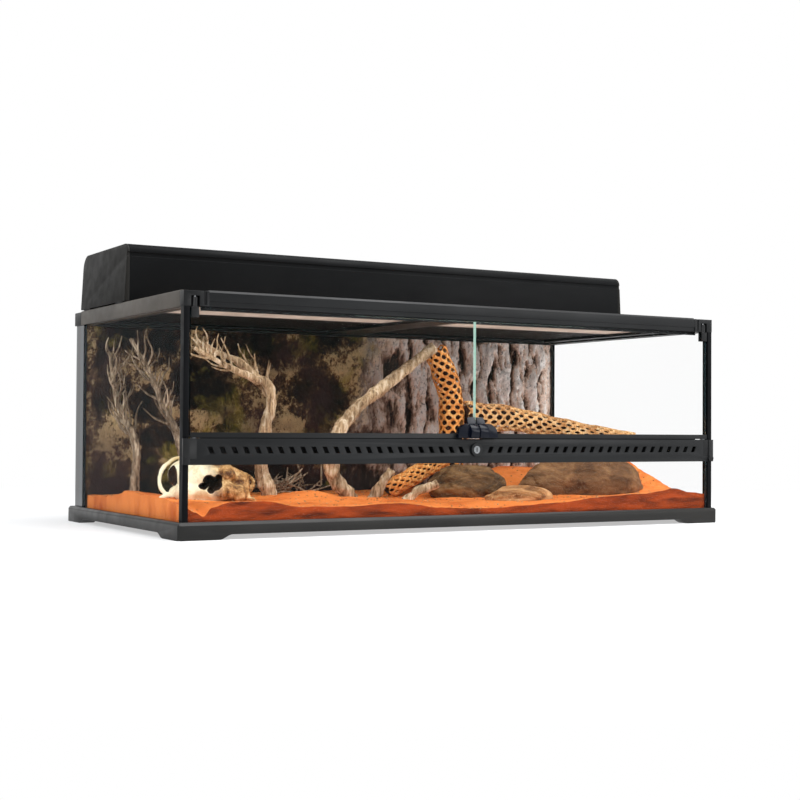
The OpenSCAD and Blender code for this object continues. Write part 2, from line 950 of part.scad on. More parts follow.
module door_rail() {
    difference() {
        box([door_in, door_mid - door_half_t, door_z],
            [door_out, door_mid + door_half_t, door_z + door_rail_h]);
        door_glass();
        translate([pivot_x, door_mid, door_z - 1])
            cylinder(h = 1 + door_foot - 0.5, r = pin_r);
    }
}

// Clip on the upper hinge corner of the glass, with its barrel
module hinge_clip() {
    difference() {
        union() {
            box([door_out - clip_w, door_mid - door_half_t, door_top - clip_h],
                [door_out, door_mid + door_half_t, door_top + 1.5]);
            translate([pivot_x, door_mid, door_top])
                cylinder(h = barrel_top - door_top, r = barrel_r);
        }
        door_glass();
        translate([pivot_x, door_mid, barrel_top - pin_len])
            cylinder(h = pin_len + 1, r = pin_r);
    }
}

module hinge_pins() {
    translate([pivot_x, door_mid, barrel_top - pin_len])
        cylinder(h = 2 * pin_len, r = pin_r);
    translate([pivot_x, door_mid, door_z - door_gap - pin_low + 1]) {
        cylinder(h = pin_low + door_gap + door_foot - 1.5, r = pin_r);
        translate([0, 0, pin_low - 0.8])
            cylinder(h = door_gap - 0.2, r = collar_r);
    }
}

// Outline of one handle in X and Z
module handle_outline() {
    block = 15;
    polygon(concat(
        [[door_in, 0]],
        [[door_in, handle_h]],
        arc([block - 4, handle_h - 4], 4, 90, 0, 4),
        [[block, 0.7 * handle_h]],
        arc([block, 0], 0.7 * handle_h, 80, 35, 6),
        [[handle_half, 4], [handle_half, 0]]
    ));
}

module door_handle() {
    y1 = door_mid - door_half_t;
    y0 = y1 - handle_out;
    reach = handle_out + door_rail_wall;
    translate([0, 0, door_z + 1])
        intersection() {
            along_y(y0, door_mid - door_t / 2)
                handle_outline();
            along_x(0, handle_half + 1)
                polygon(concat(
                    [[y1, 0], [y0 + 2, 0]],
                    arc([y0 + handle_out, 8], handle_out, 180, 100, 8),
                    [[door_mid - door_t / 2, handle_h + 1], [door_mid - door_t / 2,
                                                           door_rail_h - 1],
                     [y1, door_rail_h - 1]]
                ));
            // Wings that are lower than the middle block
            union() {
                box([0, y0, -1], [15, y1 + reach, handle_h + 1]);
                box([0, y1 - 7, -1], [handle_half, y1 + reach, handle_h + 1]);
            }
        }
}

// Catch behind the meeting edge, which the cam holds when it is turned up
module door_catch() {
    y0 = door_mid + door_half_t;
    box([catch_in, y0, catch_arm_z], [catch_out, catch_y + catch_t, catch_arm_z + catch_t]);
    box([catch_in, catch_y, door_z + 0.5], [catch_out, catch_y + catch_t, catch_arm_z]);
}

module right_door_glass() { color("#d5ebe4", 0.4) door_glass(); }
module right_door_rail() { color("#45484a") door_rail(); }
module right_hinge_clip() { color("#26282a") hinge_clip(); }
module right_hinge_pins() { color("#a5a7a9") hinge_pins(); }
module right_handle() { color("#20262e") door_handle(); }
module right_catch() { color("#2c2f31") door_catch(); }
module left_door_glass() { mirror([1, 0, 0]) right_door_glass(); }
module left_door_rail() { mirror([1, 0, 0]) right_door_rail(); }
module left_hinge_clip() { mirror([1, 0, 0]) right_hinge_clip(); }
module left_hinge_pins() { mirror([1, 0, 0]) right_hinge_pins(); }
module left_handle() { mirror([1, 0, 0]) right_handle(); }
module left_catch() { mirror([1, 0, 0]) right_catch(); }

// ---------- screen lid ----------

module screen_frame() {
    half = lid_w / 2;
    color("#2e2e2e")
        difference() {
            box([-half, lid_front, lid_z], [half, lid_back, lid_z + lid_h]);
            box_pair([cross_bar / 2, lid_front + lid_bar, lid_z + mesh_step_h],
                     [half - lid_bar, lid_back - lid_bar, tank_h]);
            box_pair([cross_bar / 2 + mesh_step, lid_front + lid_bar + mesh_step, 0],
                     [half - lid_bar - mesh_step, lid_back - lid_bar - mesh_step,
                      tank_h]);
        }
}

module screen_mesh() {
    z = lid_z + mesh_step_h;
    box([cross_bar / 2 + 0.2, lid_front + lid_bar + 0.2, z],
        [lid_w / 2 - lid_bar - 0.2, lid_back - lid_bar - 0.2, z + mesh_t]);
}

module right_screen_mesh() { color("#8c8078") screen_mesh(); }
module left_screen_mesh() { mirror([1, 0, 0]) right_screen_mesh(); }

// ---------- lid locks and cable inlets ----------

module lid_lock() {
    y0 = frame_d / 2 - rear_rail_w + slide_gap;
    t = tank_h - 0.3 - tongue_z;
    box([lock_slide_x - lock_w / 2, y0, tongue_z],
        [lock_slide_x + lock_w / 2, y0 + lock_len, tongue_z + t]);
    // Grip rib behind the hood
    box([lock_slide_x - lock_w / 2 + 3, y0 + lock_len - 3, tongue_z],
        [lock_slide_x + lock_w / 2 - 3, y0 + lock_len - 1, tank_h + finger_h]);
}

module right_lid_lock() { color("#1c1c1c") lid_lock(); }
module left_lid_lock() { mirror([1, 0, 0]) right_lid_lock(); }

module inlet_cover() {
    z = tank_h - slide_t - slide_gap;
    box([inlet_x - cover_w / 2, inlet_y - cover_lap_y, z],
        [inlet_x + cover_w / 2, inlet_y + inlet_d + cover_lap_y, z + slide_t]);
    box([inlet_x - 1.5, inlet_y, z + slide_t],
        [inlet_x + 1.5, inlet_y + inlet_d, tank_h + finger_h]);
}

module right_inlet_cover() { color("#1c1c1c") inlet_cover(); }
module left_inlet_cover() { mirror([1, 0, 0]) right_inlet_cover(); }

// ---------- hood ----------

// Section of the hood, set in by a wall thickness
module hood_section(wall) {
    y0 = hood_front + wall;
    y1 = hood_rear - wall;
    top = hood_top - wall;
    rf = hood_r_front - wall;
    rr = hood_r_rear - wall;
    polygon(concat(
        [[y0, hood_z - (wall > 0 ? 1 : 0)]],
        arc([y0 + rf, top - rf], rf, 180, 90, arc_steps),
        arc([y1 - rr, top - rr], rr, 90, 0, arc_steps),
        [[y1, hood_z - (wall > 0 ? 1 : 0)]]
    ));
}

module hood_groove() {
    box([-hood_w, hood_front - 1, groove_z],
        [hood_w, hood_front + hood_groove_d, groove_z + hood_groove_h]);
}

module hood_shell() {
    color("#1d1f20")
        difference() {
            along_x(-shell_half, shell_half)
                difference() {
                    hood_section(0);
                    hood_section(hood_t);
                }
            hood_groove();
            // Air slots in the rear wall
            for (i = [-5:5])
                box([i * 30 + 60, hood_rear - hood_t - 1, hood_top - 40],
                    [i * 30 + 78, hood_rear + 1, hood_top - 34]);
            rod_y(gland_x, fitting_z, hood_rear - hood_t - 1, hood_rear + 1, gland_r - 2);
            box([switch_x - rocker_r - 2, hood_rear - hood_t - 1,
                 fitting_z - rocker_w / 2 - 2],
                [switch_x + rocker_r + 2, hood_rear + 1, fitting_z + rocker_w / 2 + 2]);
        }
}

// End cap with the lip that plugs into the shell
module hood_cap() {
    x1 = hood_w / 2;
    difference() {
        union() {
            along_x(shell_half, x1)
                hood_section(0);
            along_x(shell_half - cap_lip, shell_half)
                intersection() {
                    difference() {
                        hood_section(hood_t + lip_in);
                        hood_section(hood_t + lip_in + cap_lip_t);
                    }
                    translate([hood_front, hood_z])
                        square([hood_d, hood_h]);
                }
        }
        hood_groove();
        // Lean of the end face
        translate([x1, hood_front - 1, hood_z])
            rotate([0, -cap_lean, 0])
                cube([3 * cap_t, hood_d + 2, 2 * hood_h]);
    }
}

module right_hood_cap() { color("#2c2b28") hood_cap(); }
module left_hood_cap() { mirror([1, 0, 0]) right_hood_cap(); }

// Rubber pads between the hood and the side rails
module hood_pads() {
    color("#151515")
        for (y = [hood_front + 12, hood_rear - 42])
            box_pair([shell_half + 1, y, tank_h], [hood_w / 2 - 1, y + 30, hood_z]);
}

// Bent sheet over the lamps
module reflector() {
    y0 = hood_front + hood_t;
    y1 = hood_rear - hood_t;
    upper = [
        [y0, reflector_z], [y0 + 16, reflector_z], [y0 + 40, reflector_top],
        [y1 - 40, reflector_top], [y1 - 16, reflector_z], [y1, reflector_z]
    ];
    lower = [for (i = [5:-1:0]) upper[i] - [0, reflector_t]];
    color("#c9cbcc")
        along_x(-reflector_half, reflector_half)
            polygon(concat(upper, lower));
}

// Left end of lamp number i
function lamp_x(i) = (i - (lamp_count - 1) / 2) * lamp_pitch - (holder_len + bulb_len) / 2;

module lamp_brackets() {
    color("#8e9092")
        for (i = [0:lamp_count - 1])
            box([lamp_x(i) - bracket_t, lamp_y - holder_r, lamp_z - holder_r],
                [lamp_x(i), lamp_y + holder_r, reflector_top - reflector_t]);
}

module lamp_holders() {
    color("#e6e3dc")
        for (i = [0:lamp_count - 1])
            translate([lamp_x(i), lamp_y, lamp_z])
                rotate([0, 90, 0])
                    difference() {
                        cylinder(h = holder_len, r = holder_r);
                        translate([0, 0, holder_len - bulb_seat - 1])
                            cylinder(h = bulb_seat + 2, r = bulb_cap_r + 0.4);
                    }
}

module bulbs() {
    neck = 0.35 * bulb_len;
    color("#f4f1e6")
        for (i = [0:lamp_count - 1])
            translate([lamp_x(i) + holder_len, lamp_y, lamp_z])
                rotate([0, 90, 0])
                    rotate_extrude()
                        polygon(concat(
                            [[0, -bulb_seat - 1], [bulb_cap_r, -bulb_seat - 1],
                             [bulb_cap_r, 1], [bulb_cap_r + 2, neck / 2]],
                            arc([0, bulb_len - bulb_r], bulb_r, -25, 90, 12)
                        ));
}

module cable_gland() {
    color("#151515")
        difference() {
            union() {
                rod_y(gland_x, fitting_z, hood_rear - hood_t, hood_rear, gland_r - 2);
                rod_y(gland_x, fitting_z, hood_rear, hood_rear + 8, gland_r);
                rod_y(gland_x, fitting_z, hood_rear - hood_t - 4, hood_rear - hood_t,
                      gland_r);
            }
            rod_y(gland_x, fitting_z, hood_rear - 20, hood_rear + 20, cable_r);
        }
}

module switch_bezel() {
    w = rocker_r + 5;
    h = rocker_w / 2 + 5;
    color("#121212")
        difference() {
            box([switch_x - w, hood_rear, fitting_z - h],
                [switch_x + w, hood_rear + bezel_t, fitting_z + h]);
            box([switch_x - rocker_r - 0.3, hood_rear - 1, fitting_z - rocker_w / 2 - 0.3],
                [switch_x + rocker_r + 0.3, hood_rear + bezel_t + 1,
                 fitting_z + rocker_w / 2 + 0.3]);
            // Seats of the rocker's pivots
            translate([switch_x, hood_rear + 1.2, fitting_z - rocker_w / 2 - 2.5])
                cylinder(h = rocker_w + 5, r = 0.8 + pin_gap);
        }
}

// Rocker in its off position
module switch_rocker() {
    color("#0c0c0c")
        translate([switch_x, hood_rear + 1.2, fitting_z - rocker_w / 2]) {
            intersection() {
                cylinder(h = rocker_w, r = rocker_r);
                linear_extrude(rocker_w)
                    rotate(-rocker_tilt)
                        polygon([
                            [-rocker_r, 4.4], [0, 2.6], [rocker_r, 4.4],
                            [rocker_r, -1], [0, -5], [-rocker_r, -1]
                        ]);
            }
            translate([0, 0, -2])
                cylinder(h = rocker_w + 4, r = 0.8);
        }
}

// ---------- furnishings ----------

// 1 on a level bed, falling to 0 a little way outside it
function bed(x, y, b) =
    let (d = norm([(x - b[0]) / b[2], (y - b[1]) / b[3]]))
        1 - min(1, max(0, (d - 1) / 0.5));

// Height of the sand at a place on the floor
function sand_at(x, y) =
    let (
        hills =
            dune_h * hill(x - right_in + 10, y - 30, 210, 140)
            + 20 * hill(x - left_in, y + 60, 130, 110)
            + 14 * hill(x - left_in - 260, y + 100, 80, 60)
            - 12 * hill(x - left_in - 28, y - front_y, 26, 24)
            - 9 * hill(x, y - front_y, 130, 60)
            + 6 * hill(x - left_in - 110, y - front_y, 60, 40)
            + 9 * hill(x - right_in + 62, y - front_y, 60, 40)
            + 1.2 * sin(2.6 * x + 1.4 * y) * cos(1.9 * y),
        level = max([for (b = bed_list) bed(x, y, b)])
    )
    sand_top + (1 - level) * hills;

// Thickness of the rock background at a place on the rear wall: ridges over a
// straight foot that the sand lies against
function rock_at(x, z) =
    let (
        ridges = rock_relief * pow(abs(sin(0.75 * x + 14 * sin(1.4 * z))), 0.7)
            * (0.5 + 0.5 * hill(x - 300, 0, 320, 1)),
        rough = rock_rough * sin(2.3 * x + 1.7 * z),
        foot = min(1, max(0, (z - sand_top - 10) / 40))
    )
    rock_t + rock_relief + rock_rough
    + foot * (ridges + rough - rock_relief);

// Path lifted so that the rim of its foot lies on the sand
function planted(path, r) =
    let (
        d = path[1] - path[0],
        t = d / norm(d),
        lift = sand_top + bed_gap + r * sqrt(1 - t[2] * t[2])
    )
    [for (p = path) p + [0, 0, lift]];

// Separate pieces of one node, drawn as one skin
module merged() {
    resize([0, 0, 0])
        union()
            children();
}

module planted_limb(path, radii, sides = 8) {
    limb(planted(path, radii[0]), radii, sides);
}

module sand_bed() {
    color("#d8733a")
        translate([0, 0, floor_z])
            relief(-sand_half, sand_half, sand_front, rock_face - bed_gap, relief_cells,
                   bed_rows,
                   function (x, y) sand_at(x, y) - floor_z);
}

module rock_background() {
    color("#5b463a")
        translate([0, rock_back, 0])
            rotate([90, 0, 0])
                relief(-inner_half + 4, inner_half - 4, floor_z, rock_top, relief_cells, wall_rows,
                       function (x, z) rock_at(x, z));
}

// Animal skull with a snout to the front, cheek arches and eye sockets
module skull() {
    color("#efe3bb")
        blob([skull_at[0], skull_at[1], sand_top + 0.9 * skull_half[2]], skull_half,
             sand_top + bed_gap, 14, 28,
             function (lat, lon)
                 1
                 + 0.35 * hill(lon - 285, lat + 25, 34, 26)
                 + 0.30 * (hill(lon - 190, lat + 15, 22, 16) + hill(lon - 350, lat + 15, 22, 16))
                 - 0.28 * (hill(lon - 248, lat - 8, 15, 15) + hill(lon - 318, lat - 8, 15, 15)));
}

module driftwood() {
    color("#c9b08c")
        merged() {
            planted_limb(branch_main, branch_main_r);
            translate([0, 0, sand_top])
                limb(branch_twin, branch_twin_r);
            planted_limb(branch_lean, branch_lean_r);
            planted_limb(branch_fork, branch_fork_r);
            planted_limb(branch_low, branch_low_r);
        }
}

module side_branches() {
    color("#8f7d66")
        merged() {
            planted_limb(branch_left, branch_left_r);
            planted_limb(branch_side, branch_side_r);
        }
}

module cholla_wood() {
    color("#dd9650")
        merged() {
            planted_limb(cholla_up, cholla_up_r, cholla_sides);
            translate([0, 0, sand_top])
                limb(cholla_across, cholla_across_r, cholla_sides);
            planted_limb(cholla_foot, cholla_foot_r, cholla_sides);
        }
}

module rocks() {
    color("#8a6a4b")
        merged()
            for (s = rock_list)
                blob([s[0][0], s[0][1], sand_top + s[1]], s[2], sand_top + bed_gap,
                     9, 18,
                     function (lat, lon)
                         0.95 + 0.05 * sin(3 * lon + s[3]) * cos(2 * lat + s[3]));
}

// ---------- drawing ----------

base_frame();
floor_glass();
left_glass();
right_glass();
back_glass();
lower_front_glass();
front_posts();
corner_seams();
front_rail();
rear_rail();
left_rail();
right_rail();
front_corner_blocks();
rear_corner_blocks();
vent_strip();
vent_mesh();
strip_ends();
lock_housing();
lock_plug();
lock_cam();
left_door_glass();
left_door_rail();
left_hinge_clip();
left_hinge_pins();
left_handle();
left_catch();
right_door_glass();
right_door_rail();
right_hinge_clip();
right_hinge_pins();
right_handle();
right_catch();
screen_frame();
left_screen_mesh();
right_screen_mesh();
left_lid_lock();
right_lid_lock();
left_inlet_cover();
right_inlet_cover();
hood_shell();
left_hood_cap();
right_hood_cap();
hood_pads();
reflector();
lamp_brackets();
lamp_holders();
bulbs();
cable_gland();
switch_bezel();
switch_rocker();
sand_bed();
rock_background();
skull();
driftwood();
side_branches();
cholla_wood();
rocks();
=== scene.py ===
"""Reptile terrarium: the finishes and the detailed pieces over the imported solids.

Lengths are metres, or millimetres where a docstring says so, in the part's own
frame: X to the right, Y to the back and Z up, with the origin on the ground
under the middle.
"""

import logging
import math
import random
from dataclasses import dataclass
from enum import Enum
from typing import Callable, Protocol, Sequence

import bmesh
import bpy
from mathutils import Matrix, Vector, noise


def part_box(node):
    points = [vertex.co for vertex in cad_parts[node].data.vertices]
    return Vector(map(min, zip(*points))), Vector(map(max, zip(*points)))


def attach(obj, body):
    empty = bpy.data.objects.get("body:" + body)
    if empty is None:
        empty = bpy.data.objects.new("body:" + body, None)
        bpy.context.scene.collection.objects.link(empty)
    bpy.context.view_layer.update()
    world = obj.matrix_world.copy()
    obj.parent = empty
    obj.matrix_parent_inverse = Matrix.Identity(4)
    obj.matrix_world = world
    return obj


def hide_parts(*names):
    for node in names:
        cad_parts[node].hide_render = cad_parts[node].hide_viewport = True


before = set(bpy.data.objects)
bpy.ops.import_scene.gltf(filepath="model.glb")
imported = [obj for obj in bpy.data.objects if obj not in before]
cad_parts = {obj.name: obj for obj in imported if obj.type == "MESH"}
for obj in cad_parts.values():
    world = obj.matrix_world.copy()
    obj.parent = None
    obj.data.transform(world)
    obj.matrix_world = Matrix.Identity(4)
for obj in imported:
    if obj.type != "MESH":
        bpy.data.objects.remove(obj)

MM = 0.001
LOG = logging.getLogger("terrarium")
Colour = tuple[float, float, float]
Point = tuple[float, float, float]
Path = Sequence[Point]


class Axis(Enum):
    """Axis of the frame, with its place in a vector."""

    X = 0
    Y = 1
    Z = 2


class Side(Enum):
    """Left or right half of the tank, with its sign along X."""

    LEFT = -1
    RIGHT = 1

    def name_of(self, piece: str) -> str:
        """Name of this side's piece, such as left_handle."""
        return f"{self.name.lower()}_{piece}"


def srgb(red: int, green: int, blue: int) -> Colour:
    """Linear colour for display values from 0 to 255.

    Args:
        red: Red display value.
        green: Green display value.
        blue: Blue display value.

    Returns:
        The linear colour.
    """
    def linear(value: int) -> float:
        """One channel."""
        share = value / 255
        return share / 12.92 if share <= 0.04045 else ((share + 0.055) / 1.055) ** 2.4

    return linear(red), linear(green), linear(blue)


# ------------------------------------------------------------------ node trees


class Tree:
    """Node tree with short calls that add, feed and link its nodes."""

    PREFIX = "ShaderNode"

    def __init__(self, tree: bpy.types.NodeTree) -> None:
        """Take a tree.

        Args:
            tree: The tree.
        """
        self.tree = tree

    def add(self, kind: str, settings: dict[str, object] | None = None,
            **feeds: object) -> bpy.types.Node:
        """Add a node, set its properties and feed its sockets.

        Args:
            kind: Type of the node, without the tree's usual prefix.
            settings: Properties to set.
            feeds: Sockets or values by the name of the input, with _ for a space.

        Returns:
            The new node.
        """
        whole = kind.startswith(("ShaderNode", "FunctionNode"))
        node = self.tree.nodes.new(kind if whole else self.PREFIX + kind)
        for key, value in (settings or {}).items():
            setattr(node, key, value)
        for key, value in feeds.items():
            name = key.replace("_", " ")
            self.feed(next(s for s in node.inputs if s.name == name and s.enabled), value)
        return node

    def feed(self, socket: bpy.types.NodeSocket, value: object) -> None:
        """Link a socket, or set it directly when the value is plain.

        Args:
            socket: Input to feed.
            value: Socket, plain value, or None to leave the input as it is.
        """
        if isinstance(value, bpy.types.NodeSocket):
            self.tree.links.new(value, socket)
        elif value is not None:
            socket.default_value = value

    def maths(self, operation: str, first: object, second: object = None) -> bpy.types.NodeSocket:
        """Result of an operation on one or two numbers.

        Args:
            operation: Name of the operation.
            first: Number or socket.
            second: Number or socket, where it takes two.

        Returns:
            The result.
        """
        node = self.add("ShaderNodeMath", {"operation": operation})
        self.feed(node.inputs[0], first)
        self.feed(node.inputs[1], second)
        return node.outputs[0]

    def plus(self, first: object, second: object) -> bpy.types.NodeSocket:
        """Sum of two numbers or sockets."""
        return self.maths("ADD", first, second)

    def times(self, first: object, second: object) -> bpy.types.NodeSocket:
        """Product of two numbers or sockets."""
        return self.maths("MULTIPLY", first, second)


class NodeSheet(Tree):
    """Node tree of one material, with the steps that the finishes share."""

    def __init__(self, name: str) -> None:
        """Start a material.

        Args:
            name: Name of the material.
        """
        self.material = bpy.data.materials.new(name)
        self.material.use_nodes = True
        super().__init__(self.material.node_tree)
        self.shader = self.tree.nodes["Principled BSDF"]
        self.coordinates = self.add("TexCoord").outputs

    def place(self, scale: Point = (1, 1, 1), turn: Point = (0, 0, 0)) -> bpy.types.NodeSocket:
        """Object coordinates, scaled along each axis and turned by Euler angles."""
        return self.add("Mapping", Vector=self.coordinates["Object"], Scale=scale,
                        Rotation=turn).outputs[0]

    def noise(self, scale: float, detail: float = 3, where: bpy.types.NodeSocket | None = None,
              rough: float = 0.5, twist: float = 0) -> bpy.types.NodeSocket:
        """Noise value.

        Args:
            scale: Cells per metre.
            detail: Octaves.
            where: Coordinates, or the object's own.
            rough: Strength of the finer octaves.
            twist: Distortion.

        Returns:
            The factor output.
        """
        return self.add("TexNoise", Vector=where or self.place(), Scale=scale, Detail=detail,
                        Roughness=rough, Distortion=twist).outputs[0]

    def axis(self, axis: Axis, output: str = "Object") -> bpy.types.NodeSocket:
        """One component of the object coordinates or of the object's normal."""
        return self.add("SeparateXYZ", Vector=self.coordinates[output]).outputs[axis.value]

    def ramp(self, factor: bpy.types.NodeSocket,
             *stops: tuple[float, Colour]) -> bpy.types.NodeSocket:
        """Colours over a factor.

        Args:
            factor: The factor.
            stops: Position and colour of each stop.

        Returns:
            The colour.
        """
        node = self.add("ValToRGB", Fac=factor)
        elements = node.color_ramp.elements
        while len(elements) < len(stops):
            elements.new(0.5)
        for element, (position, colour) in zip(elements, stops):
            element.position = position
            element.color = (*colour, 1)
        return node.outputs[0]

    def spread(self, factor: bpy.types.NodeSocket, low: float, high: float,
               start: float = 0.3, end: float = 0.7) -> bpy.types.NodeSocket:
        """Number from low to high while the factor goes from start to end."""
        return self.add("MapRange", Value=factor, From_Min=start, From_Max=end, To_Min=low,
                        To_Max=high).outputs[0]

    def mix(self, share: object, first: object, second: object) -> bpy.types.NodeSocket:
        """Mix of two colours.

        Args:
            share: Share of the second.
            first: Colour or socket.
            second: Colour or socket.

        Returns:
            The colour.
        """
        node = self.add("Mix", {"data_type": "RGBA"})
        self.feed(node.inputs[0], share)
        for index, value in ((6, first), (7, second)):
            self.feed(node.inputs[index], (*value, 1) if isinstance(value, tuple) else value)
        return node.outputs[2]

    def bump(self, height: bpy.types.NodeSocket, depth: float) -> None:
        """Add a bump over those there are.

        Args:
            height: The relief.
            depth: Its depth.
        """
        node = self.add("Bump", Height=height, Distance=depth)
        below = self.shader.inputs["Normal"]
        if below.is_linked:
            self.feed(node.inputs["Normal"], below.links[0].from_socket)
        self.feed(below, node.outputs[0])

    def surface(self, **values: object) -> None:
        """Feed the shader.

        Args:
            values: Values or sockets by the name of the input, with _ for a space.
        """
        for key, value in values.items():
            value = (*value, 1) if isinstance(value, tuple) and len(value) == 3 else value
            self.feed(self.shader.inputs[key.replace("_", " ")], value)


# ------------------------------------------------------------------- finishes


class Recipe(Protocol):
    """What every finish has: the name of its material and the way to paint it."""

    name: str

    def paint(self, sheet: NodeSheet) -> None:
        """Add the finish's nodes.

        Args:
            sheet: The material's tree.
        """


@dataclass(frozen=True)
class MouldedPlastic:
    """Moulded plastic with a fine grain and faint cloudiness."""

    name: str
    dark: Colour
    pale: Colour
    roughness: float = 0.42
    shine: float = 0.5
    grain: float = 0.00004

    def paint(self, sheet: NodeSheet) -> None:
        """Add the finish's nodes.

        Args:
            sheet: The material's tree.
        """
        clouds = sheet.noise(7, 4)
        colour = sheet.ramp(clouds, (0.35, self.dark), (0.65, self.pale))
        streaks = sheet.noise(55, 3, sheet.place((0.25, 1, 1)))
        sheet.bump(sheet.noise(1500, 2), self.grain)
        sheet.surface(
            Base_Color=colour, Specular_IOR_Level=self.shine,
            Roughness=sheet.spread(streaks, self.roughness - 0.06, self.roughness + 0.08))


@dataclass(frozen=True)
class PaneGlass:
    """Float glass: nearly clear over its face, with coloured edges.

    The panes that face along X have a dark band before the rear corners: sealant, with a painted
    reflection of the rock panel.
    """

    name: str
    facing: Axis
    tint: Colour
    edge: Colour
    body: float = 0.01
    rim: float = 0.97
    outer: Colour = srgb(30, 44, 48)
    middle_half: float = 0.2
    glancing: float = 0.14
    # Dark band before the rear corners: sealant colour with a painted reflection.
    sealant_and_reflection: Colour = srgb(24, 36, 44)
    sealant_and_reflection_edge: Colour = srgb(8, 10, 16)
    band_from: float = 0.194
    band_width: float = 0.016

    def paint(self, sheet: NodeSheet) -> None:
        """Add the finish's nodes.

        Args:
            sheet: The material's tree.
        """
        rim = sheet.maths("LESS_THAN",
                          sheet.maths("ABSOLUTE", sheet.axis(self.facing, "Normal")), 0.5)
        glance = sheet.add("LayerWeight", Blend=0.5).outputs["Facing"]
        film = sheet.spread(sheet.noise(4, 3), self.body * 0.8, self.body * 1.2)
        film = sheet.plus(film, sheet.times(sheet.maths("POWER", glance, 5.0), self.glancing))
        alpha = sheet.maths("MAXIMUM", sheet.times(rim, self.rim), film)
        aside = sheet.maths("GREATER_THAN", sheet.maths("ABSOLUTE", sheet.axis(Axis.X)),
                            self.middle_half)
        edge = sheet.mix(aside, self.edge, self.outer)
        # Sealant and painted reflection at the rear of the side panes.
        if self.facing is Axis.X:
            behind = sheet.maths("GREATER_THAN", sheet.axis(Axis.Y), self.band_from)
            last = sheet.maths("GREATER_THAN", sheet.axis(Axis.Y),
                               self.band_from + self.band_width)
            edge = sheet.mix(last, self.sealant_and_reflection, self.sealant_and_reflection_edge)
            alpha = sheet.maths("MAXIMUM", alpha, behind)
            rim = sheet.maths("MAXIMUM", rim, behind)
        sheet.surface(Base_Color=sheet.mix(rim, self.tint, edge), Roughness=0.04, IOR=1.5,
                      Alpha=alpha)


@dataclass(frozen=True)
class SatinMetal:
    """Metal with fine lines along one way."""

    name: str
    dark: Colour
    pale: Colour
    roughness: float = 0.32
    lines: Point = (0.05, 1, 1)

    def paint(self, sheet: NodeSheet) -> None:
        """Add the finish's nodes.

        Args:
            sheet: The material's tree.
        """
        lines = sheet.noise(900, 3, sheet.place(self.lines))
        sheet.bump(lines, 0.00002)
        sheet.surface(
            Base_Color=sheet.ramp(sheet.noise(25, 3), (0.3, self.dark), (0.7, self.pale)),
            Metallic=1.0, Roughness=sheet.spread(lines, self.roughness - 0.08,
                                                 self.roughness + 0.1))


@dataclass(frozen=True)
class LidWire(SatinMetal):
    """Pale woven wire, with painted shade on the part that the hood stands over."""

    # Colour of the painted shade under the hood.
    hood_shade: Colour = srgb(46, 40, 37)
    hood_front: float = -0.004
    fade: float = 0.012

    def paint(self, sheet: NodeSheet) -> None:
        """Add the finish's nodes.

        Args:
            sheet: The material's tree.
        """
        super().paint(sheet)
        base = sheet.shader.inputs["Base Color"]
        # Painted shade: the wire turns dark from the front edge of the hood backwards.
        hood_shade_share = sheet.spread(sheet.axis(Axis.Y), 0.0, 1.0, self.hood_front - self.fade,
                           self.hood_front)
        sheet.feed(base, sheet.mix(hood_shade_share, base.links[0].from_socket, self.hood_shade))


@dataclass(frozen=True)
class SoftRubber:
    """Matt rubber or sealant."""

    name: str
    dark: Colour
    pale: Colour

    def paint(self, sheet: NodeSheet) -> None:
        """Add the finish's nodes.

        Args:
            sheet: The material's tree.
        """
        sheet.bump(sheet.noise(500, 3), 0.0001)
        sheet.surface(
            Base_Color=sheet.ramp(sheet.noise(40, 3), (0.3, self.dark), (0.7, self.pale)),
            Roughness=sheet.spread(sheet.noise(90, 2), 0.6, 0.8), Specular_IOR_Level=0.3)


@dataclass(frozen=True)
class WhiteGlaze:
    """Fired white glaze, or frosted glass where it lets light through."""

    name: str
    dark: Colour
    pale: Colour
    clear: float = 0.0
    roughness: float = 0.15

    def paint(self, sheet: NodeSheet) -> None:
        """Add the finish's nodes.

        Args:
            sheet: The material's tree.
        """
        sheet.bump(sheet.noise(120, 2), 0.00006)
        sheet.surface(
            Base_Color=sheet.ramp(sheet.noise(30, 3), (0.3, self.dark), (0.7, self.pale)),
            Roughness=self.roughness, Transmission_Weight=self.clear, Coat_Weight=0.4)


@dataclass(frozen=True)
class LooseSand:
    """Orange sand: loose and bright on top, with painted shade that makes it dark on the face that
    the glass cuts.
    """

    name: str = "loose_sand"
    bright: Colour = srgb(240, 140, 68)
    deep: Colour = srgb(200, 92, 34)
    # The cut colours are painted shade on the face at the front glass, in layered tones.
    cut: Colour = srgb(142, 56, 18)
    cut_deep_shade: Colour = srgb(72, 26, 8)
    grain: Colour = srgb(150, 72, 36)
    cut_below: float = -0.2238

    def paint(self, sheet: NodeSheet) -> None:
        """Add the finish's nodes.

        Args:
            sheet: The material's tree.
        """
        drift = sheet.noise(16, 5, sheet.place((1, 1.8, 1)), rough=0.6)
        grains = sheet.noise(1100, 2)
        top = sheet.ramp(drift, (0.3, self.deep), (0.55, self.bright))
        top = sheet.mix(sheet.spread(grains, 0.0, 0.35, 0.45, 0.7), top, self.grain)
        layers = sheet.noise(30, 5, sheet.place((0.6, 1, 3.5)), rough=0.6)
        face = sheet.ramp(layers, (0.35, self.cut_deep_shade), (0.6, self.cut))
        # Painted shade mask: the face in front of this line takes the dark cut colours.
        painted_shade_mask = sheet.maths("LESS_THAN", sheet.axis(Axis.Y), self.cut_below)
        sheet.bump(grains, 0.0004)
        sheet.bump(sheet.noise(160, 4), 0.0012)
        sheet.surface(Base_Color=sheet.mix(painted_shade_mask, top, face), Roughness=0.9,
                      Specular_IOR_Level=0.15)


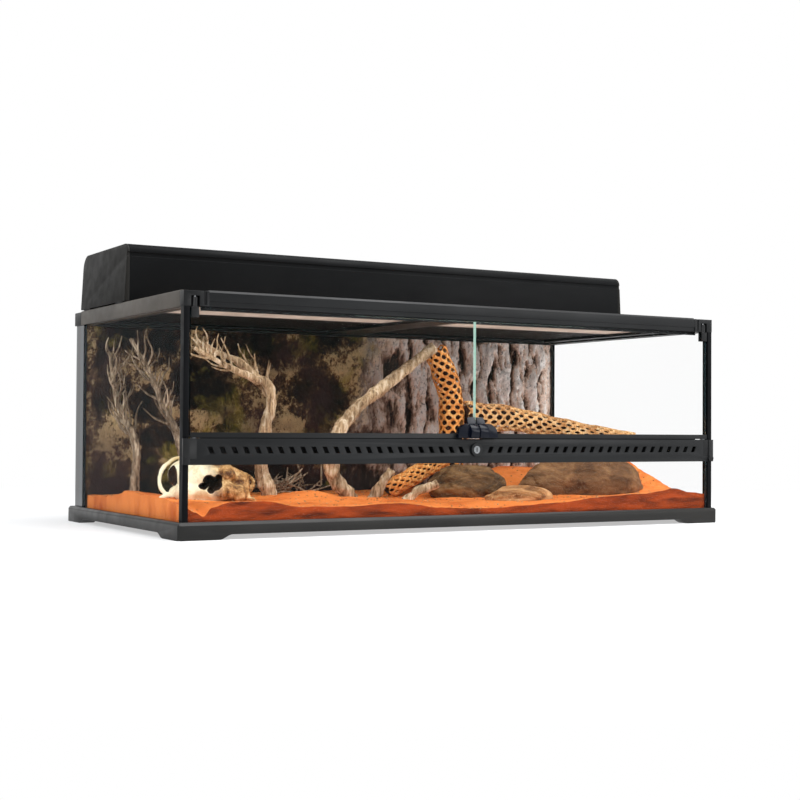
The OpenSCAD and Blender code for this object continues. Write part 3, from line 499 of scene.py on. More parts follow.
@dataclass(frozen=True)
class PaintedFoam:
    """Rock panel in painted foam: dark brown at the left, pale pinkish grey at the right, with
    painted shade in the recesses and cracks.
    """

    name: str = "painted_foam"
    split: float = 0.18
    split_width: float = 0.14
    recess: float = 0.2075
    crest: float = 0.190
    # Colour of the painted shade in the cracks.
    crack_shade: Colour = srgb(24, 18, 16)
    plum: Colour = srgb(74, 52, 50)

    def paint(self, sheet: NodeSheet) -> None:
        """Add the finish's nodes.

        Args:
            sheet: The material's tree.
        """
        blots = sheet.noise(34, 6, sheet.place((1, 1, 0.55)), rough=0.65, twist=0.8)
        streaks = sheet.noise(85, 7, sheet.place((1, 1, 0.3)), rough=0.75, twist=0.7)
        fine = sheet.noise(230, 6, sheet.place((1, 1, 0.6)), rough=0.8)
        specks = sheet.noise(130, 8, sheet.place((1, 1, 0.8)), rough=0.85)
        # Paler on the crests and darker in the recesses: painted shade over the paint's own blots
        # and streaks.
        height = sheet.spread(sheet.axis(Axis.Y), 0.0, 1.0, self.recess, self.crest)
        level = sheet.plus(sheet.times(height, 0.5),
                           sheet.plus(sheet.times(blots, 0.5), sheet.times(specks, 0.9)))
        dark = sheet.ramp(level, (0.7, srgb(18, 12, 10)), (0.87, srgb(57, 41, 31)),
                          (0.97, srgb(114, 88, 60)), (1.0, srgb(202, 174, 128)))
        moss = sheet.ramp(blots, (0.4, srgb(52, 54, 22)), (0.62, srgb(158, 142, 62)))
        dark = sheet.mix(sheet.spread(sheet.noise(17, 5), 0.0, 0.7, 0.54, 0.62), dark, moss)
        dark = sheet.mix(sheet.spread(sheet.noise(7, 3), 0.0, 0.6, 0.52, 0.62), dark, self.plum)
        ridge = sheet.plus(sheet.times(height, 0.7), sheet.times(streaks, 0.8))
        pale = sheet.ramp(ridge, (0.44, srgb(36, 25, 21)), (0.57, srgb(138, 109, 92)),
                          (0.69, srgb(240, 213, 192)), (0.83, srgb(255, 248, 241)))
        side = sheet.plus(sheet.axis(Axis.X), sheet.times(sheet.noise(6, 4), 0.3))
        blend = sheet.spread(side, 0.0, 1.0, self.split, self.split + self.split_width)
        # Painted shade in the cracks, where the fine bump sinks.
        crack_shade_share = sheet.spread(fine, 0.85, 0.0, 0.34, 0.48)
        sheet.bump(fine, 0.003)
        sheet.bump(streaks, 0.004)
        sheet.surface(Base_Color=sheet.mix(crack_shade_share, sheet.mix(blend, dark, pale), self.crack_shade),
                      Roughness=0.85, Specular_IOR_Level=0.2)


@dataclass(frozen=True)
class DryBone:
    """Bone that is cream and smooth at the left, and brown, mottled and rough at the right."""

    name: str = "dry_bone"
    brown_from: float = -0.352
    brown_width: float = 0.02

    def paint(self, sheet: NodeSheet) -> None:
        """Add the finish's nodes.

        Args:
            sheet: The material's tree.
        """
        fine = sheet.noise(240, 5, rough=0.65)
        stains = sheet.noise(34, 5, rough=0.7, twist=0.8)
        cream_side = sheet.ramp(stains, (0.3, srgb(214, 190, 138)), (0.55, srgb(247, 238, 205)))
        brown_side = sheet.ramp(sheet.noise(90, 5, rough=0.7), (0.38, srgb(86, 50, 22)),
                          (0.54, srgb(184, 138, 82)), (0.7, srgb(238, 212, 158)))
        side = sheet.plus(sheet.axis(Axis.X), sheet.times(stains, 0.05))
        share = sheet.spread(side, 0.0, 1.0, self.brown_from, self.brown_from + self.brown_width)
        sheet.bump(fine, 0.0009)
        sheet.bump(stains, 0.0012)
        sheet.surface(Base_Color=sheet.mix(share, cream_side, brown_side), Roughness=0.62,
                      Specular_IOR_Level=0.3)


@dataclass(frozen=True)
class BareWood:
    """Bare weathered wood with long fibres and dark cracks."""

    name: str
    dark: Colour
    middle: Colour
    pale: Colour
    fibres: Point = (1, 1, 0.16)

    def paint(self, sheet: NodeSheet) -> None:
        """Add the finish's nodes.

        Args:
            sheet: The material's tree.
        """
        grain = sheet.noise(210, 5, sheet.place(self.fibres), rough=0.65, twist=0.5)
        patches = sheet.noise(30, 4)
        colour = sheet.ramp(grain, (0.32, self.dark), (0.5, self.middle), (0.68, self.pale))
        colour = sheet.mix(sheet.spread(patches, 0.0, 0.6, 0.45, 0.7), colour, self.dark)
        sheet.bump(grain, 0.0014)
        sheet.surface(Base_Color=colour, Roughness=0.78, Specular_IOR_Level=0.25)


@dataclass(frozen=True)
class RoughStone:
    """Natural stone with bands of two browns and pale specks."""

    name: str
    dark: Colour
    middle: Colour
    pale: Colour
    bands: Point = (0.5, 1, 1.6)

    def paint(self, sheet: NodeSheet) -> None:
        """Add the finish's nodes.

        Args:
            sheet: The material's tree.
        """
        bands = sheet.noise(38, 6, sheet.place(self.bands, (0.2, 0.5, 0)), rough=0.6, twist=1.2)
        specks = sheet.noise(420, 3)
        colour = sheet.ramp(bands, (0.3, self.dark), (0.5, self.middle), (0.7, self.pale))
        colour = sheet.mix(sheet.spread(specks, 0.0, 0.4, 0.55, 0.7), colour, self.pale)
        sheet.bump(specks, 0.0006)
        sheet.bump(bands, 0.003)
        sheet.surface(Base_Color=colour, Roughness=0.8, Specular_IOR_Level=0.25)


FRAME_PLASTIC = MouldedPlastic("frame_plastic", srgb(14, 15, 16), srgb(22, 23, 24), 0.37, 0.16)
POST_PLASTIC = MouldedPlastic("post_plastic", srgb(2, 3, 5), srgb(7, 8, 10), 0.45, 0.07)
# Paler copy of the frame plastic, used for the left rail only: painted light on that side.
LIT_SIDE_PLASTIC = MouldedPlastic("lit_side_plastic", srgb(62, 58, 53), srgb(80, 75, 69), 0.5, 0.2)
BASE_PLASTIC = MouldedPlastic("base_plastic", srgb(18, 18, 17), srgb(28, 27, 25), 0.34, 0.22)
TRIM_PLASTIC = MouldedPlastic("trim_plastic", srgb(10, 11, 12), srgb(18, 19, 20), 0.4, 0.2)
HOOD_PLASTIC = MouldedPlastic("hood_plastic", srgb(4, 5, 6), srgb(9, 10, 11), 0.5, 0.07)
CAP_PLASTIC = MouldedPlastic("cap_plastic", srgb(18, 17, 16), srgb(24, 23, 21), 0.5, 0.1)
GLOSS_PLASTIC = MouldedPlastic("gloss_plastic", srgb(2, 5, 14), srgb(6, 10, 22), 0.2, 0.16,
                               0.00001)
SIDE_PANE = PaneGlass("side_pane", Axis.X, srgb(70, 92, 96), srgb(44, 66, 70))
FRONT_PANE = PaneGlass("front_pane", Axis.Y, srgb(80, 100, 98), srgb(60, 92, 86))
FLOOR_PANE = PaneGlass("floor_pane", Axis.Z, srgb(80, 100, 98), srgb(60, 92, 86))
DOOR_PANE = PaneGlass("door_pane", Axis.Y, srgb(80, 104, 100), srgb(188, 224, 212), 0.008)
SEALANT = SoftRubber("sealant", srgb(24, 27, 33), srgb(36, 40, 48))
PAD_RUBBER = SoftRubber("pad_rubber", srgb(20, 20, 20), srgb(30, 30, 30))
# Lid wire, with painted shade where the hood covers it.
WIRE = LidWire("wire", srgb(196, 178, 164), srgb(226, 210, 196), 0.5)
DARK_WIRE = SatinMetal("dark_wire", srgb(30, 31, 32), srgb(48, 49, 50), 0.5)
STEEL = SatinMetal("steel", srgb(96, 98, 100), srgb(130, 132, 134), 0.3)
SHEET_METAL = SatinMetal("sheet_metal", srgb(205, 206, 208), srgb(232, 233, 234), 0.22)
HOLDER_GLAZE = WhiteGlaze("holder_glaze", srgb(228, 224, 214), srgb(244, 241, 234))
BULB_GLASS = WhiteGlaze("bulb_glass", srgb(240, 238, 228), srgb(252, 251, 246), 0.55, 0.4)
SAND = LooseSand()
FOAM = PaintedFoam()
BONE = DryBone()
# Dark brown for the walls of the skull's openings: painted shade.
BONE_HOLLOW_SHADE = BareWood("bone_hollow_shade", srgb(22, 12, 6), srgb(48, 28, 14), srgb(82, 52, 28),
                       (1, 1, 1))
PALE_WOOD = BareWood("pale_wood", srgb(84, 60, 38), srgb(190, 160, 122), srgb(240, 224, 196))
GREY_WOOD = BareWood("grey_wood", srgb(52, 40, 30), srgb(136, 114, 90), srgb(206, 188, 162))
CHOLLA_WOOD = BareWood("cholla_wood", srgb(178, 98, 40), srgb(236, 156, 78), srgb(252, 210, 136),
                       (1, 1, 0.6))
CHOLLA_TAN = BareWood("cholla_tan", srgb(150, 92, 46), srgb(226, 172, 110), srgb(250, 224, 176),
                      (1, 1, 0.6))
# Dark core inside the cholla tubes: painted shade, not part of the wood.
CHOLLA_SHADE_CORE = BareWood("cholla_shade_core", srgb(26, 14, 8), srgb(52, 28, 14), srgb(84, 46, 22))
DARK_ROCK = RoughStone("dark_rock", srgb(36, 24, 14), srgb(88, 62, 36), srgb(142, 108, 68))
FLAT_ROCK = RoughStone("flat_rock", srgb(96, 58, 30), srgb(166, 116, 70), srgb(224, 178, 126))
BOULDER = RoughStone("boulder", srgb(72, 46, 26), srgb(112, 78, 48), srgb(152, 114, 76),
                     (0.6, 0.7, 1.0))

_made: dict[str, bpy.types.Material] = {}


def finish(recipe: Recipe) -> bpy.types.Material:
    """Material of a finish, built once.

    Args:
        recipe: One of the finishes above.

    Returns:
        The material.
    """
    if recipe.name not in _made:
        sheet = NodeSheet(recipe.name)
        recipe.paint(sheet)
        _made[recipe.name] = sheet.material
    return _made[recipe.name]


# --------------------------------------------------------------- mesh helpers

MERGE = 1e-6  # metres
FLAT_ANGLE = 0.6  # degrees
EDGE_ANGLE = 28  # degrees


def dress(recipe: Recipe, *nodes: str) -> None:
    """Give carried-over CAD nodes their finish.

    Args:
        recipe: The finish.
        nodes: Names of the nodes.
    """
    for node in nodes:
        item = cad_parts[node]
        if not item.material_slots:
            item.data.materials.append(None)
        for slot in item.material_slots:
            slot.material = finish(recipe)
        LOG.info("node %s: %s", node, recipe.name)


def linked(name: str, data: bpy.types.ID) -> bpy.types.Object:
    """New object in the scene.

    Args:
        name: Name of the object.
        data: Its mesh, curve, lamp or camera.

    Returns:
        The object.
    """
    item = bpy.data.objects.new(name, data)
    bpy.context.scene.collection.objects.link(item)
    return item


def shown(name: str, work: bmesh.types.BMesh, recipe: Recipe) -> bpy.types.Object:
    """Smooth object from a worked mesh, which is freed, with its normals turned out.

    Args:
        name: Name of the object.
        work: The worked mesh.
        recipe: Its finish.

    Returns:
        The object.
    """
    bmesh.ops.recalc_face_normals(work, faces=work.faces)
    for face in work.faces:
        face.smooth = True
    mesh = bpy.data.meshes.new(name)
    work.to_mesh(mesh)
    work.free()
    mesh.materials.append(finish(recipe))
    return linked(name, mesh)


def result_of(item: bpy.types.Object) -> bpy.types.Mesh:
    """New mesh with what an object's modifiers make of it.

    Args:
        item: Object with modifiers.

    Returns:
        The mesh.
    """
    bpy.context.view_layer.update()
    seen = item.evaluated_get(bpy.context.evaluated_depsgraph_get())
    mesh = bpy.data.meshes.new_from_object(seen)
    mesh.name = item.name
    return mesh


def applied(item: bpy.types.Object) -> bpy.types.Object:
    """Turn the result of an object's modifiers into its own plain mesh.

    Args:
        item: Object with modifiers.

    Returns:
        The same object.
    """
    mesh = result_of(item)
    item.modifiers.clear()
    item.data = mesh
    return item


def slab(name: str, points: list[Point], columns: int, under: Callable[[Point], Point],
         recipe: Recipe, sharp: float) -> bpy.types.Object:
    """Closed solid under a grid of points, with a flat far side.

    Args:
        name: Name of the piece.
        points: The grid in rows, in metres.
        columns: Faces along a row.
        under: Place on the far side for a point on the rim.
        recipe: Its finish.
        sharp: Edges over this angle in degrees stay sharp.

    Returns:
        The piece, not yet on a body.
    """
    row = columns + 1
    rows = len(points) // row - 1
    faces = [(j * row + i, j * row + i + 1, (j + 1) * row + i + 1, (j + 1) * row + i)
             for j in range(rows) for i in range(columns)]
    rim = [*range(row), *(j * row + columns for j in range(1, rows + 1)),
           *(rows * row + i for i in range(columns - 1, -1, -1)),
           *(j * row for j in range(rows - 1, 0, -1))]
    start = len(points)
    count = len(rim)
    faces += [(rim[k], rim[(k + 1) % count], start + (k + 1) % count, start + k)
              for k in range(count)]
    faces.append(tuple(range(start + count - 1, start - 1, -1)))
    mesh = bpy.data.meshes.new(name)
    mesh.from_pydata([*points, *(under(points[i]) for i in rim)], [], faces)
    work = bmesh.new()
    work.from_mesh(mesh)
    bpy.data.meshes.remove(mesh)
    item = shown(name, work, recipe)
    item.data.set_sharp_from_angle(angle=math.radians(sharp))
    return item


def hand_over(item: bpy.types.Object, body: str, slot: str, *nodes: str) -> bpy.types.Object:
    """Let a finished piece ride on a body in place of its nodes, and report it.

    Args:
        item: The piece.
        body: The body it moves with.
        slot: Not used.
        nodes: Nodes that it stands for.

    Returns:
        The piece.
    """
    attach(item, body)
    if nodes:
        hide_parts(*nodes)
    LOG.info("piece %s: %d faces on %s", item.name, len(item.data.polygons), body)
    return item


def rounded(node: str, recipe: Recipe, body: str, slot: str, width: float, steps: int = 2) -> None:
    """Put a copy of a CAD node with rounded edges in its place.

    Args:
        node: Name of the node.
        recipe: Its finish.
        body: The body it moves with.
        slot: Not used; passed on to hand_over, which ignores it.
        width: Width of the rounding.
        steps: Number of faces across it.
    """
    work = bmesh.new()
    work.from_mesh(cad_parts[node].data)
    bmesh.ops.remove_doubles(work, verts=work.verts, dist=MERGE)
    bmesh.ops.dissolve_limit(work, angle_limit=math.radians(FLAT_ANGLE), verts=work.verts,
                             edges=work.edges)
    for face in work.faces:
        face.smooth = True
    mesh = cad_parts[node].data.copy()
    mesh.materials.clear()
    work.to_mesh(mesh)
    work.free()
    mesh.materials.append(finish(recipe))
    item = linked(f"{node}_rounded", mesh)
    bevel = item.modifiers.new("rounding", "BEVEL")
    bevel.width = width
    bevel.segments = steps
    bevel.limit_method = "ANGLE"
    bevel.angle_limit = math.radians(EDGE_ANGLE)
    bevel.harden_normals = True
    hand_over(applied(item), body, slot, node)


# ------------------------------------------------------------- geometry nodes


class GeometrySheet(Tree):
    """Geometry node tree with named inputs that ends in Realize Instances and Set Material."""

    PREFIX = "GeometryNode"
    KINDS = {float: "NodeSocketFloat", int: "NodeSocketInt", tuple: "NodeSocketVector"}

    def __init__(self, name: str, **sizes: object) -> None:
        """Start a tree.

        Args:
            name: Name of the tree.
            sizes: Named inputs with their values.
        """
        super().__init__(bpy.data.node_groups.new(name, "GeometryNodeTree"))
        face = self.tree.interface
        face.new_socket("Geometry", in_out="INPUT", socket_type="NodeSocketGeometry")
        self.values: dict[str, object] = {}
        for key, value in sizes.items():
            socket = face.new_socket(key, in_out="INPUT", socket_type=self.KINDS[type(value)])
            self.values[socket.identifier] = value
        self.material_id = face.new_socket("Material", in_out="INPUT",
                                           socket_type="NodeSocketMaterial").identifier
        face.new_socket("Geometry", in_out="OUTPUT", socket_type="NodeSocketGeometry")
        self.inputs = self.tree.nodes.new("NodeGroupInput").outputs
        self.result = self.tree.nodes.new("NodeGroupOutput")

    def vector(self, x: object = 0.0, y: object = 0.0, z: object = 0.0) -> bpy.types.NodeSocket:
        """Vector from three numbers or sockets."""
        return self.add("ShaderNodeCombineXYZ", X=x, Y=y, Z=z).outputs[0]

    def run(self, carrier: bpy.types.Object, geometry: bpy.types.NodeSocket,
            recipe: Recipe) -> bpy.types.Object:
        """End the tree, run it on an object and keep the result as a mesh.

        Args:
            carrier: Object that the modifier goes on.
            geometry: What the tree makes.
            recipe: Finish of the result.

        Returns:
            A new mesh object with the carrier's name.
        """
        real = self.add("RealizeInstances", Geometry=geometry).outputs[0]
        painted = self.add("SetMaterial", Geometry=real, Material=self.inputs["Material"])
        self.feed(self.result.inputs[0], painted.outputs[0])
        modifier = carrier.modifiers.new(self.tree.name, "NODES")
        modifier.node_group = self.tree
        for identifier, value in self.values.items():
            modifier[identifier] = value
        modifier[self.material_id] = finish(recipe)
        mesh = result_of(carrier)
        name = carrier.name
        bpy.data.objects.remove(carrier)
        return linked(name, mesh)


@dataclass
class WireCloth:
    """Wires that cross at a pitch in a flat rectangle."""

    name: str
    low: Vector
    high: Vector
    across: Axis
    pitch: float
    wire: float

    def build(self, recipe: Recipe) -> bpy.types.Object:
        """Make the cloth.

        Args:
            recipe: Finish of the wire.

        Returns:
            The piece, not yet on a body.
        """
        size = self.high - self.low
        flat = [i for i in range(3) if i != self.across.value]
        sheet = GeometrySheet(
            self.name, Low=tuple(self.low), Size=tuple(size), Wire=self.wire,
            First=int(size[flat[0]] / self.pitch), Second=int(size[flat[1]] / self.pitch))
        size_in = sheet.add("ShaderNodeSeparateXYZ", Vector=sheet.inputs["Size"]).outputs
        low_in = sheet.add("ShaderNodeSeparateXYZ", Vector=sheet.inputs["Low"]).outputs
        wire = sheet.inputs["Wire"]
        cloth = sheet.add("JoinGeometry")
        for run, step, count, share in ((*flat, "Second", 0.25), (*flat[::-1], "First", 0.75)):
            start: list[object] = [None] * 3
            start[run] = sheet.plus(low_in[run], sheet.times(size_in[run], 0.5))
            start[self.across.value] = sheet.plus(
                low_in[self.across.value], sheet.times(size_in[self.across.value], share))
            end = list(start)
            start[step] = sheet.plus(low_in[step], wire)
            end[step] = sheet.maths("SUBTRACT", sheet.plus(low_in[step], size_in[step]), wire)
            bar: list[object] = [wire] * 3
            bar[run] = size_in[run]
            line = sheet.add("MeshLine", {"mode": "END_POINTS"}, Count=sheet.inputs[count],
                             Start_Location=sheet.vector(*start))
            sheet.feed(line.inputs["Offset"], sheet.vector(*end))
            box = sheet.add("MeshCube", Size=sheet.vector(*bar))
            sheet.feed(cloth.inputs[0], sheet.add("InstanceOnPoints", Points=line.outputs[0],
                                                  Instance=box.outputs[0]).outputs[0])
        carrier = linked(self.name, bpy.data.meshes.new(self.name))
        return sheet.run(carrier, cloth.outputs[0], recipe)


SWELL = 0.9  # slow swelling of a limb, as a share of its radius


@dataclass
class Limb:
    """Path of a limb in metres, with the radius at its foot and at its tip."""

    path: Path
    foot: float
    tip: float

    def radius(self, share: float) -> float:
        """Radius at a share of the way from foot to tip."""
        return self.foot + (self.tip - self.foot) * share


def limb_skin(name: str, limbs: Sequence[Limb], recipe: Recipe, bark: float, knots: float,
              spacing: float = 0.0025, sides: int = 20) -> bpy.types.Object:
    """Rough round skins along the paths of limbs, from a geometry node tree.

    Args:
        name: Name of the piece.
        limbs: The limbs.
        recipe: Their finish.
        bark: Depth of the bark as a share of the radius.
        knots: Cells of the roughness per metre.
        spacing: Distance between the rings.
        sides: Points round a ring.

    Returns:
        The piece, not yet on a body.
    """
    curve = bpy.data.curves.new(name, "CURVE")
    curve.dimensions = "3D"
    for limb in limbs:
        spline = curve.splines.new("BEZIER")
        spline.bezier_points.add(len(limb.path) - 1)
        for index, (point, place) in enumerate(zip(spline.bezier_points, limb.path)):
            point.co = place
            point.handle_left_type = point.handle_right_type = "AUTO"
            point.radius = limb.radius(index / (len(limb.path) - 1))
    sheet = GeometrySheet(name, Sides=sides, Spacing=spacing, Bark=bark, Knots=knots,
                          Swell=SWELL)
    line = sheet.add("ResampleCurve", {"mode": "LENGTH"}, Curve=sheet.inputs["Geometry"],
                     Length=sheet.inputs["Spacing"]).outputs[0]
    kept = sheet.add("CaptureAttribute", Geometry=line)
    kept.capture_items.new("FLOAT", "Radius")
    sheet.feed(kept.inputs["Radius"], sheet.add("InputRadius").outputs[0])
    radius = kept.outputs["Radius"]
    ring = sheet.add("CurvePrimitiveCircle", Resolution=sheet.inputs["Sides"], Radius=1.0)
    tube = sheet.add("CurveToMesh", Curve=kept.outputs["Geometry"],
                     Profile_Curve=ring.outputs[0], Scale=radius, Fill_Caps=True).outputs[0]
    lump = sheet.add("ShaderNodeTexNoise", Scale=sheet.inputs["Knots"], Detail=4.0,
                     Roughness=0.6).outputs[0]
    bulge = sheet.add("ShaderNodeTexNoise", Detail=2.0,
                      Scale=sheet.times(sheet.inputs["Knots"], 0.35)).outputs[0]
    share = sheet.plus(
        sheet.times(sheet.inputs["Bark"], sheet.maths("SUBTRACT", lump, 0.52)),
        sheet.times(sheet.inputs["Swell"], sheet.maths("SUBTRACT", bulge, 0.54)))
    shift = sheet.add("ShaderNodeVectorMath", {"operation": "SCALE"},
                      Scale=sheet.times(share, radius))
    sheet.feed(shift.inputs[0], sheet.add("InputNormal").outputs[0])
    moved = sheet.add("SetPosition", Geometry=tube, Offset=shift.outputs[0]).outputs[0]
    smooth = sheet.add("SetShadeSmooth", Geometry=moved).outputs[0]
    return sheet.run(linked(name, curve), smooth, recipe)


# ----------------------------------------------------------------- furnishings

IN_HALF = 448.5  # inside of the side glass, in millimetres
SAND_TOP = 42.0  # level that the furnishings stand on, in millimetres
FRONT = -224.7  # inside of the lower front glass, in millimetres


def left(x: float) -> float:
    """Place along X for a distance from the inside of the left glass, in millimetres."""
    return x - IN_HALF


def right(x: float) -> float:
    """Place along X for a distance from the inside of the right glass, in millimetres."""
    return IN_HALF - x


def metres(path: Path) -> list[Point]:
    """Path in metres from one in millimetres over the sand."""
    return [(x * MM, y * MM, (z + SAND_TOP) * MM) for x, y, z in path]


def line_at(points: Sequence[tuple[float, float]], x: float) -> float:
    """Value of a line of points at x.

    Args:
        points: Places and values in order.
        x: Where to read it.

    Returns:
        The value.
    """
    for (x0, z0), (x1, z1) in zip(points, points[1:]):
        if x <= x1:
            share = min(1.0, max(0.0, (x - x0) / (x1 - x0)))
            share = share * share * (3 - 2 * share)
            return z0 + (z1 - z0) * share
    return points[-1][1]


@dataclass
class SandBed:
    """Sand with its dunes, and the pebbles on it. Sizes are in millimetres."""

    step: float = 3.0
    floor: float = 20.0
    top: float = 100.0
    flat: float = 0.6
    mounds: tuple[tuple[float, float, float, float, float], ...] = (
        (left(0), -60, 130, 110, 20), (left(260), -100, 80, 60, 14),
        (right(418), -30, 30, 36, 24))
    front_line: tuple[tuple[float, float], ...] = (
        (-449, 44), (-435, 37), (-422, 31), (-410, 43), (-384, 49), (-337, 49), (-280, 40),
        (-218, 39), (-121, 42), (-54, 35), (15, 32), (87, 34), (161, 38), (237, 45),
        (317, 48), (357, 52), (382, 56), (420, 49), (449, 46))
    beds: tuple[tuple[float, float, float, float], ...] = (
        (left(84), -80, 78, 84), (left(229), 2, 42, 42), (left(366), -100, 76, 72),
        (left(44), 96, 34, 34), (left(110), 56, 34, 34), (right(346), 0, 46, 46),
        (right(496), -50, 50, 42), (right(370), -112, 94, 92), (right(164), -108, 140, 84))

    @staticmethod
    def hill(x: float, y: float, wide: float, deep: float) -> float:
        """Smooth hill of height 1 over the origin."""
        return math.exp(-(x / wide) ** 2 - (y / deep) ** 2)

    def level(self, x: float, y: float) -> float:
        """How far a place lies in the level beds, from 0 to 1."""
        return max(1 - min(1.0, max(0.0, (math.hypot((x - bx) / hx, (y - by) / hy) - 1) / 0.5))
                   for bx, by, hx, hy in self.beds)

    def height(self, x: float, y: float) -> float:
        """Height of the sand.

        Args:
            x: Place along X.
            y: Place along Y.

        Returns:
            The height over the ground.
        """
        dune = 55 * math.exp(-((x - IN_HALF) / 200) ** 2 - ((y + 15) / 120) ** 4)
        hills = max(dune, 44 * self.hill(x - right(180), y - 60, 130, 60))
        for middle_x, middle_y, wide, deep, rise in self.mounds:
            hills += rise * self.hill(x - middle_x, y - middle_y, wide, deep)
        z = SAND_TOP + (1 - 0.55 * self.level(x, y)) * hills
        near = math.exp(-((y - FRONT) / 34) ** 2)
        z += (line_at(self.front_line, x) - z) * near
        ripple = noise.fractal(Vector((x * 0.016, y * 0.034, 1.0)), 0.9, 2.2, 4)
        z += 2.6 * ripple * (1 - 0.5 * near)
        z += 0.5 * noise.noise(Vector((x * 0.16, y * 0.22, 7.0)))
        return min(self.top, z)

    def build(self) -> None:
        """Make the sand and its pebbles."""
        low, high = (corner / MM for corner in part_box("sand_bed"))
        columns = round((high.x - low.x) / self.step)
        rows = round((high.y - low.y) / self.step)
        plan = [(low.x + (high.x - low.x) * i / columns, low.y + (high.y - low.y) * j / rows)
                for j in range(rows + 1) for i in range(columns + 1)]
        points = [(x * MM, y * MM, self.height(x, y) * MM) for x, y in plan]
        sand = slab("sand", points, columns, lambda p: (p[0], p[1], self.floor * MM), SAND, 50)
        hand_over(sand, "tank", "sand", "sand_bed")
        self.pebbles(sand)

    def pebbles(self, sand: bpy.types.Object) -> None:
        """Scatter small stones over the sand.

        Args:
            sand: The finished sand.
        """
        sheet = GeometrySheet("pebbles", Density=4200.0, Smallest=0.0005, Largest=0.0016, Seed=5)
        up = sheet.add("ShaderNodeSeparateXYZ",
                       Vector=sheet.add("InputNormal").outputs[0]).outputs[2]
        spots = sheet.add("DistributePointsOnFaces", Mesh=sheet.inputs["Geometry"],
                          Selection=sheet.maths("GREATER_THAN", up, self.flat),
                          Density=sheet.inputs["Density"], Seed=sheet.inputs["Seed"]).outputs
        size = sheet.add("FunctionNodeRandomValue", {"data_type": "FLOAT"},
                         Min=sheet.inputs["Smallest"], Max=sheet.inputs["Largest"],
                         Seed=sheet.inputs["Seed"])
        stone = sheet.add("MeshIcoSphere", Radius=1.0, Subdivisions=1).outputs[0]
        pebbles = sheet.add("InstanceOnPoints", Points=spots["Points"], Instance=stone,
                            Rotation=spots["Rotation"],
                            Scale=next(s for s in size.outputs if s.enabled)).outputs[0]
        carrier = linked("pebbles", sand.data.copy())
        hand_over(sheet.run(carrier, pebbles, FLAT_ROCK), "tank", "rock")


@dataclass
class RockWall:
    """Rock panel on the back glass. Sizes are in millimetres."""

    step: float = 2.8
    thin: float = 17.0
    deep: float = 38.0
    top_up: float = 2.7
    side_out: float = 3.6

    def depth(self, x: float, z: float) -> float:
        """Thickness of the panel.

        Args:
            x: Place along X.
            z: Height.

        Returns:
            The thickness.
        """
        crag = noise.ridged_multi_fractal(Vector((x * 0.013, 3.0, z * 0.012)), 0.8, 2.2, 6,
                                          0.9, 2.0)
        hollow = noise.noise(Vector((x * 0.012, 11.0, z * 0.011)))
        sway = 1.5 * noise.noise(Vector((x * 0.007, 0, z * 0.012)))
        wander = noise.noise(Vector((x * 0.03, 2.0, z * 0.02)))
        column = abs(math.sin(0.088 * x + sway + 1.1 * wander))
        fold = noise.fractal(Vector((x * 0.09, 9.0, z * 0.02)), 0.6, 2.1, 5)
        share = min(1.0, max(0.0, (x - 60) / 120))
        rocky = 0.5 * crag + 0.7 * hollow - 0.1
        pillars = 0.8 * column ** 0.7 + 0.55 * fold - 0.05
        rough = 1.7 * noise.fractal(Vector((x * 0.16, 5.0, z * 0.13)), 0.6, 2.1, 4)
        foot = min(1.0, max(0.25, (z - 45) / 50))
        value = (rocky * (1 - share) + pillars * share) * foot
        value += (0.45 - value) * min(1.0, max(0.0, (abs(x) - 425) / 15))
        return min(self.deep, max(self.thin, self.thin + 18 * value + rough))

    def build(self) -> None:
        """Make the panel."""
        low, high = (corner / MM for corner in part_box("rock_background"))
        half = high.x + self.side_out
        columns = round(2 * half / self.step)
        rows = round((high.z + self.top_up - low.z) / self.step)
        plan = [(half * (2 * i / columns - 1),
                 low.z + (high.z + self.top_up - low.z) * j / rows)
                for j in range(rows + 1) for i in range(columns + 1)]
        points = [(x * MM, (high.y - self.depth(x, z)) * MM, z * MM) for x, z in plan]
        narrow = high.x / half
        wall = slab("rock_panel", points, columns,
                    lambda p: (p[0] * narrow, high.y * MM, p[2]), FOAM, 60)
        hand_over(wall, "tank", "foam_rock", "rock_background")


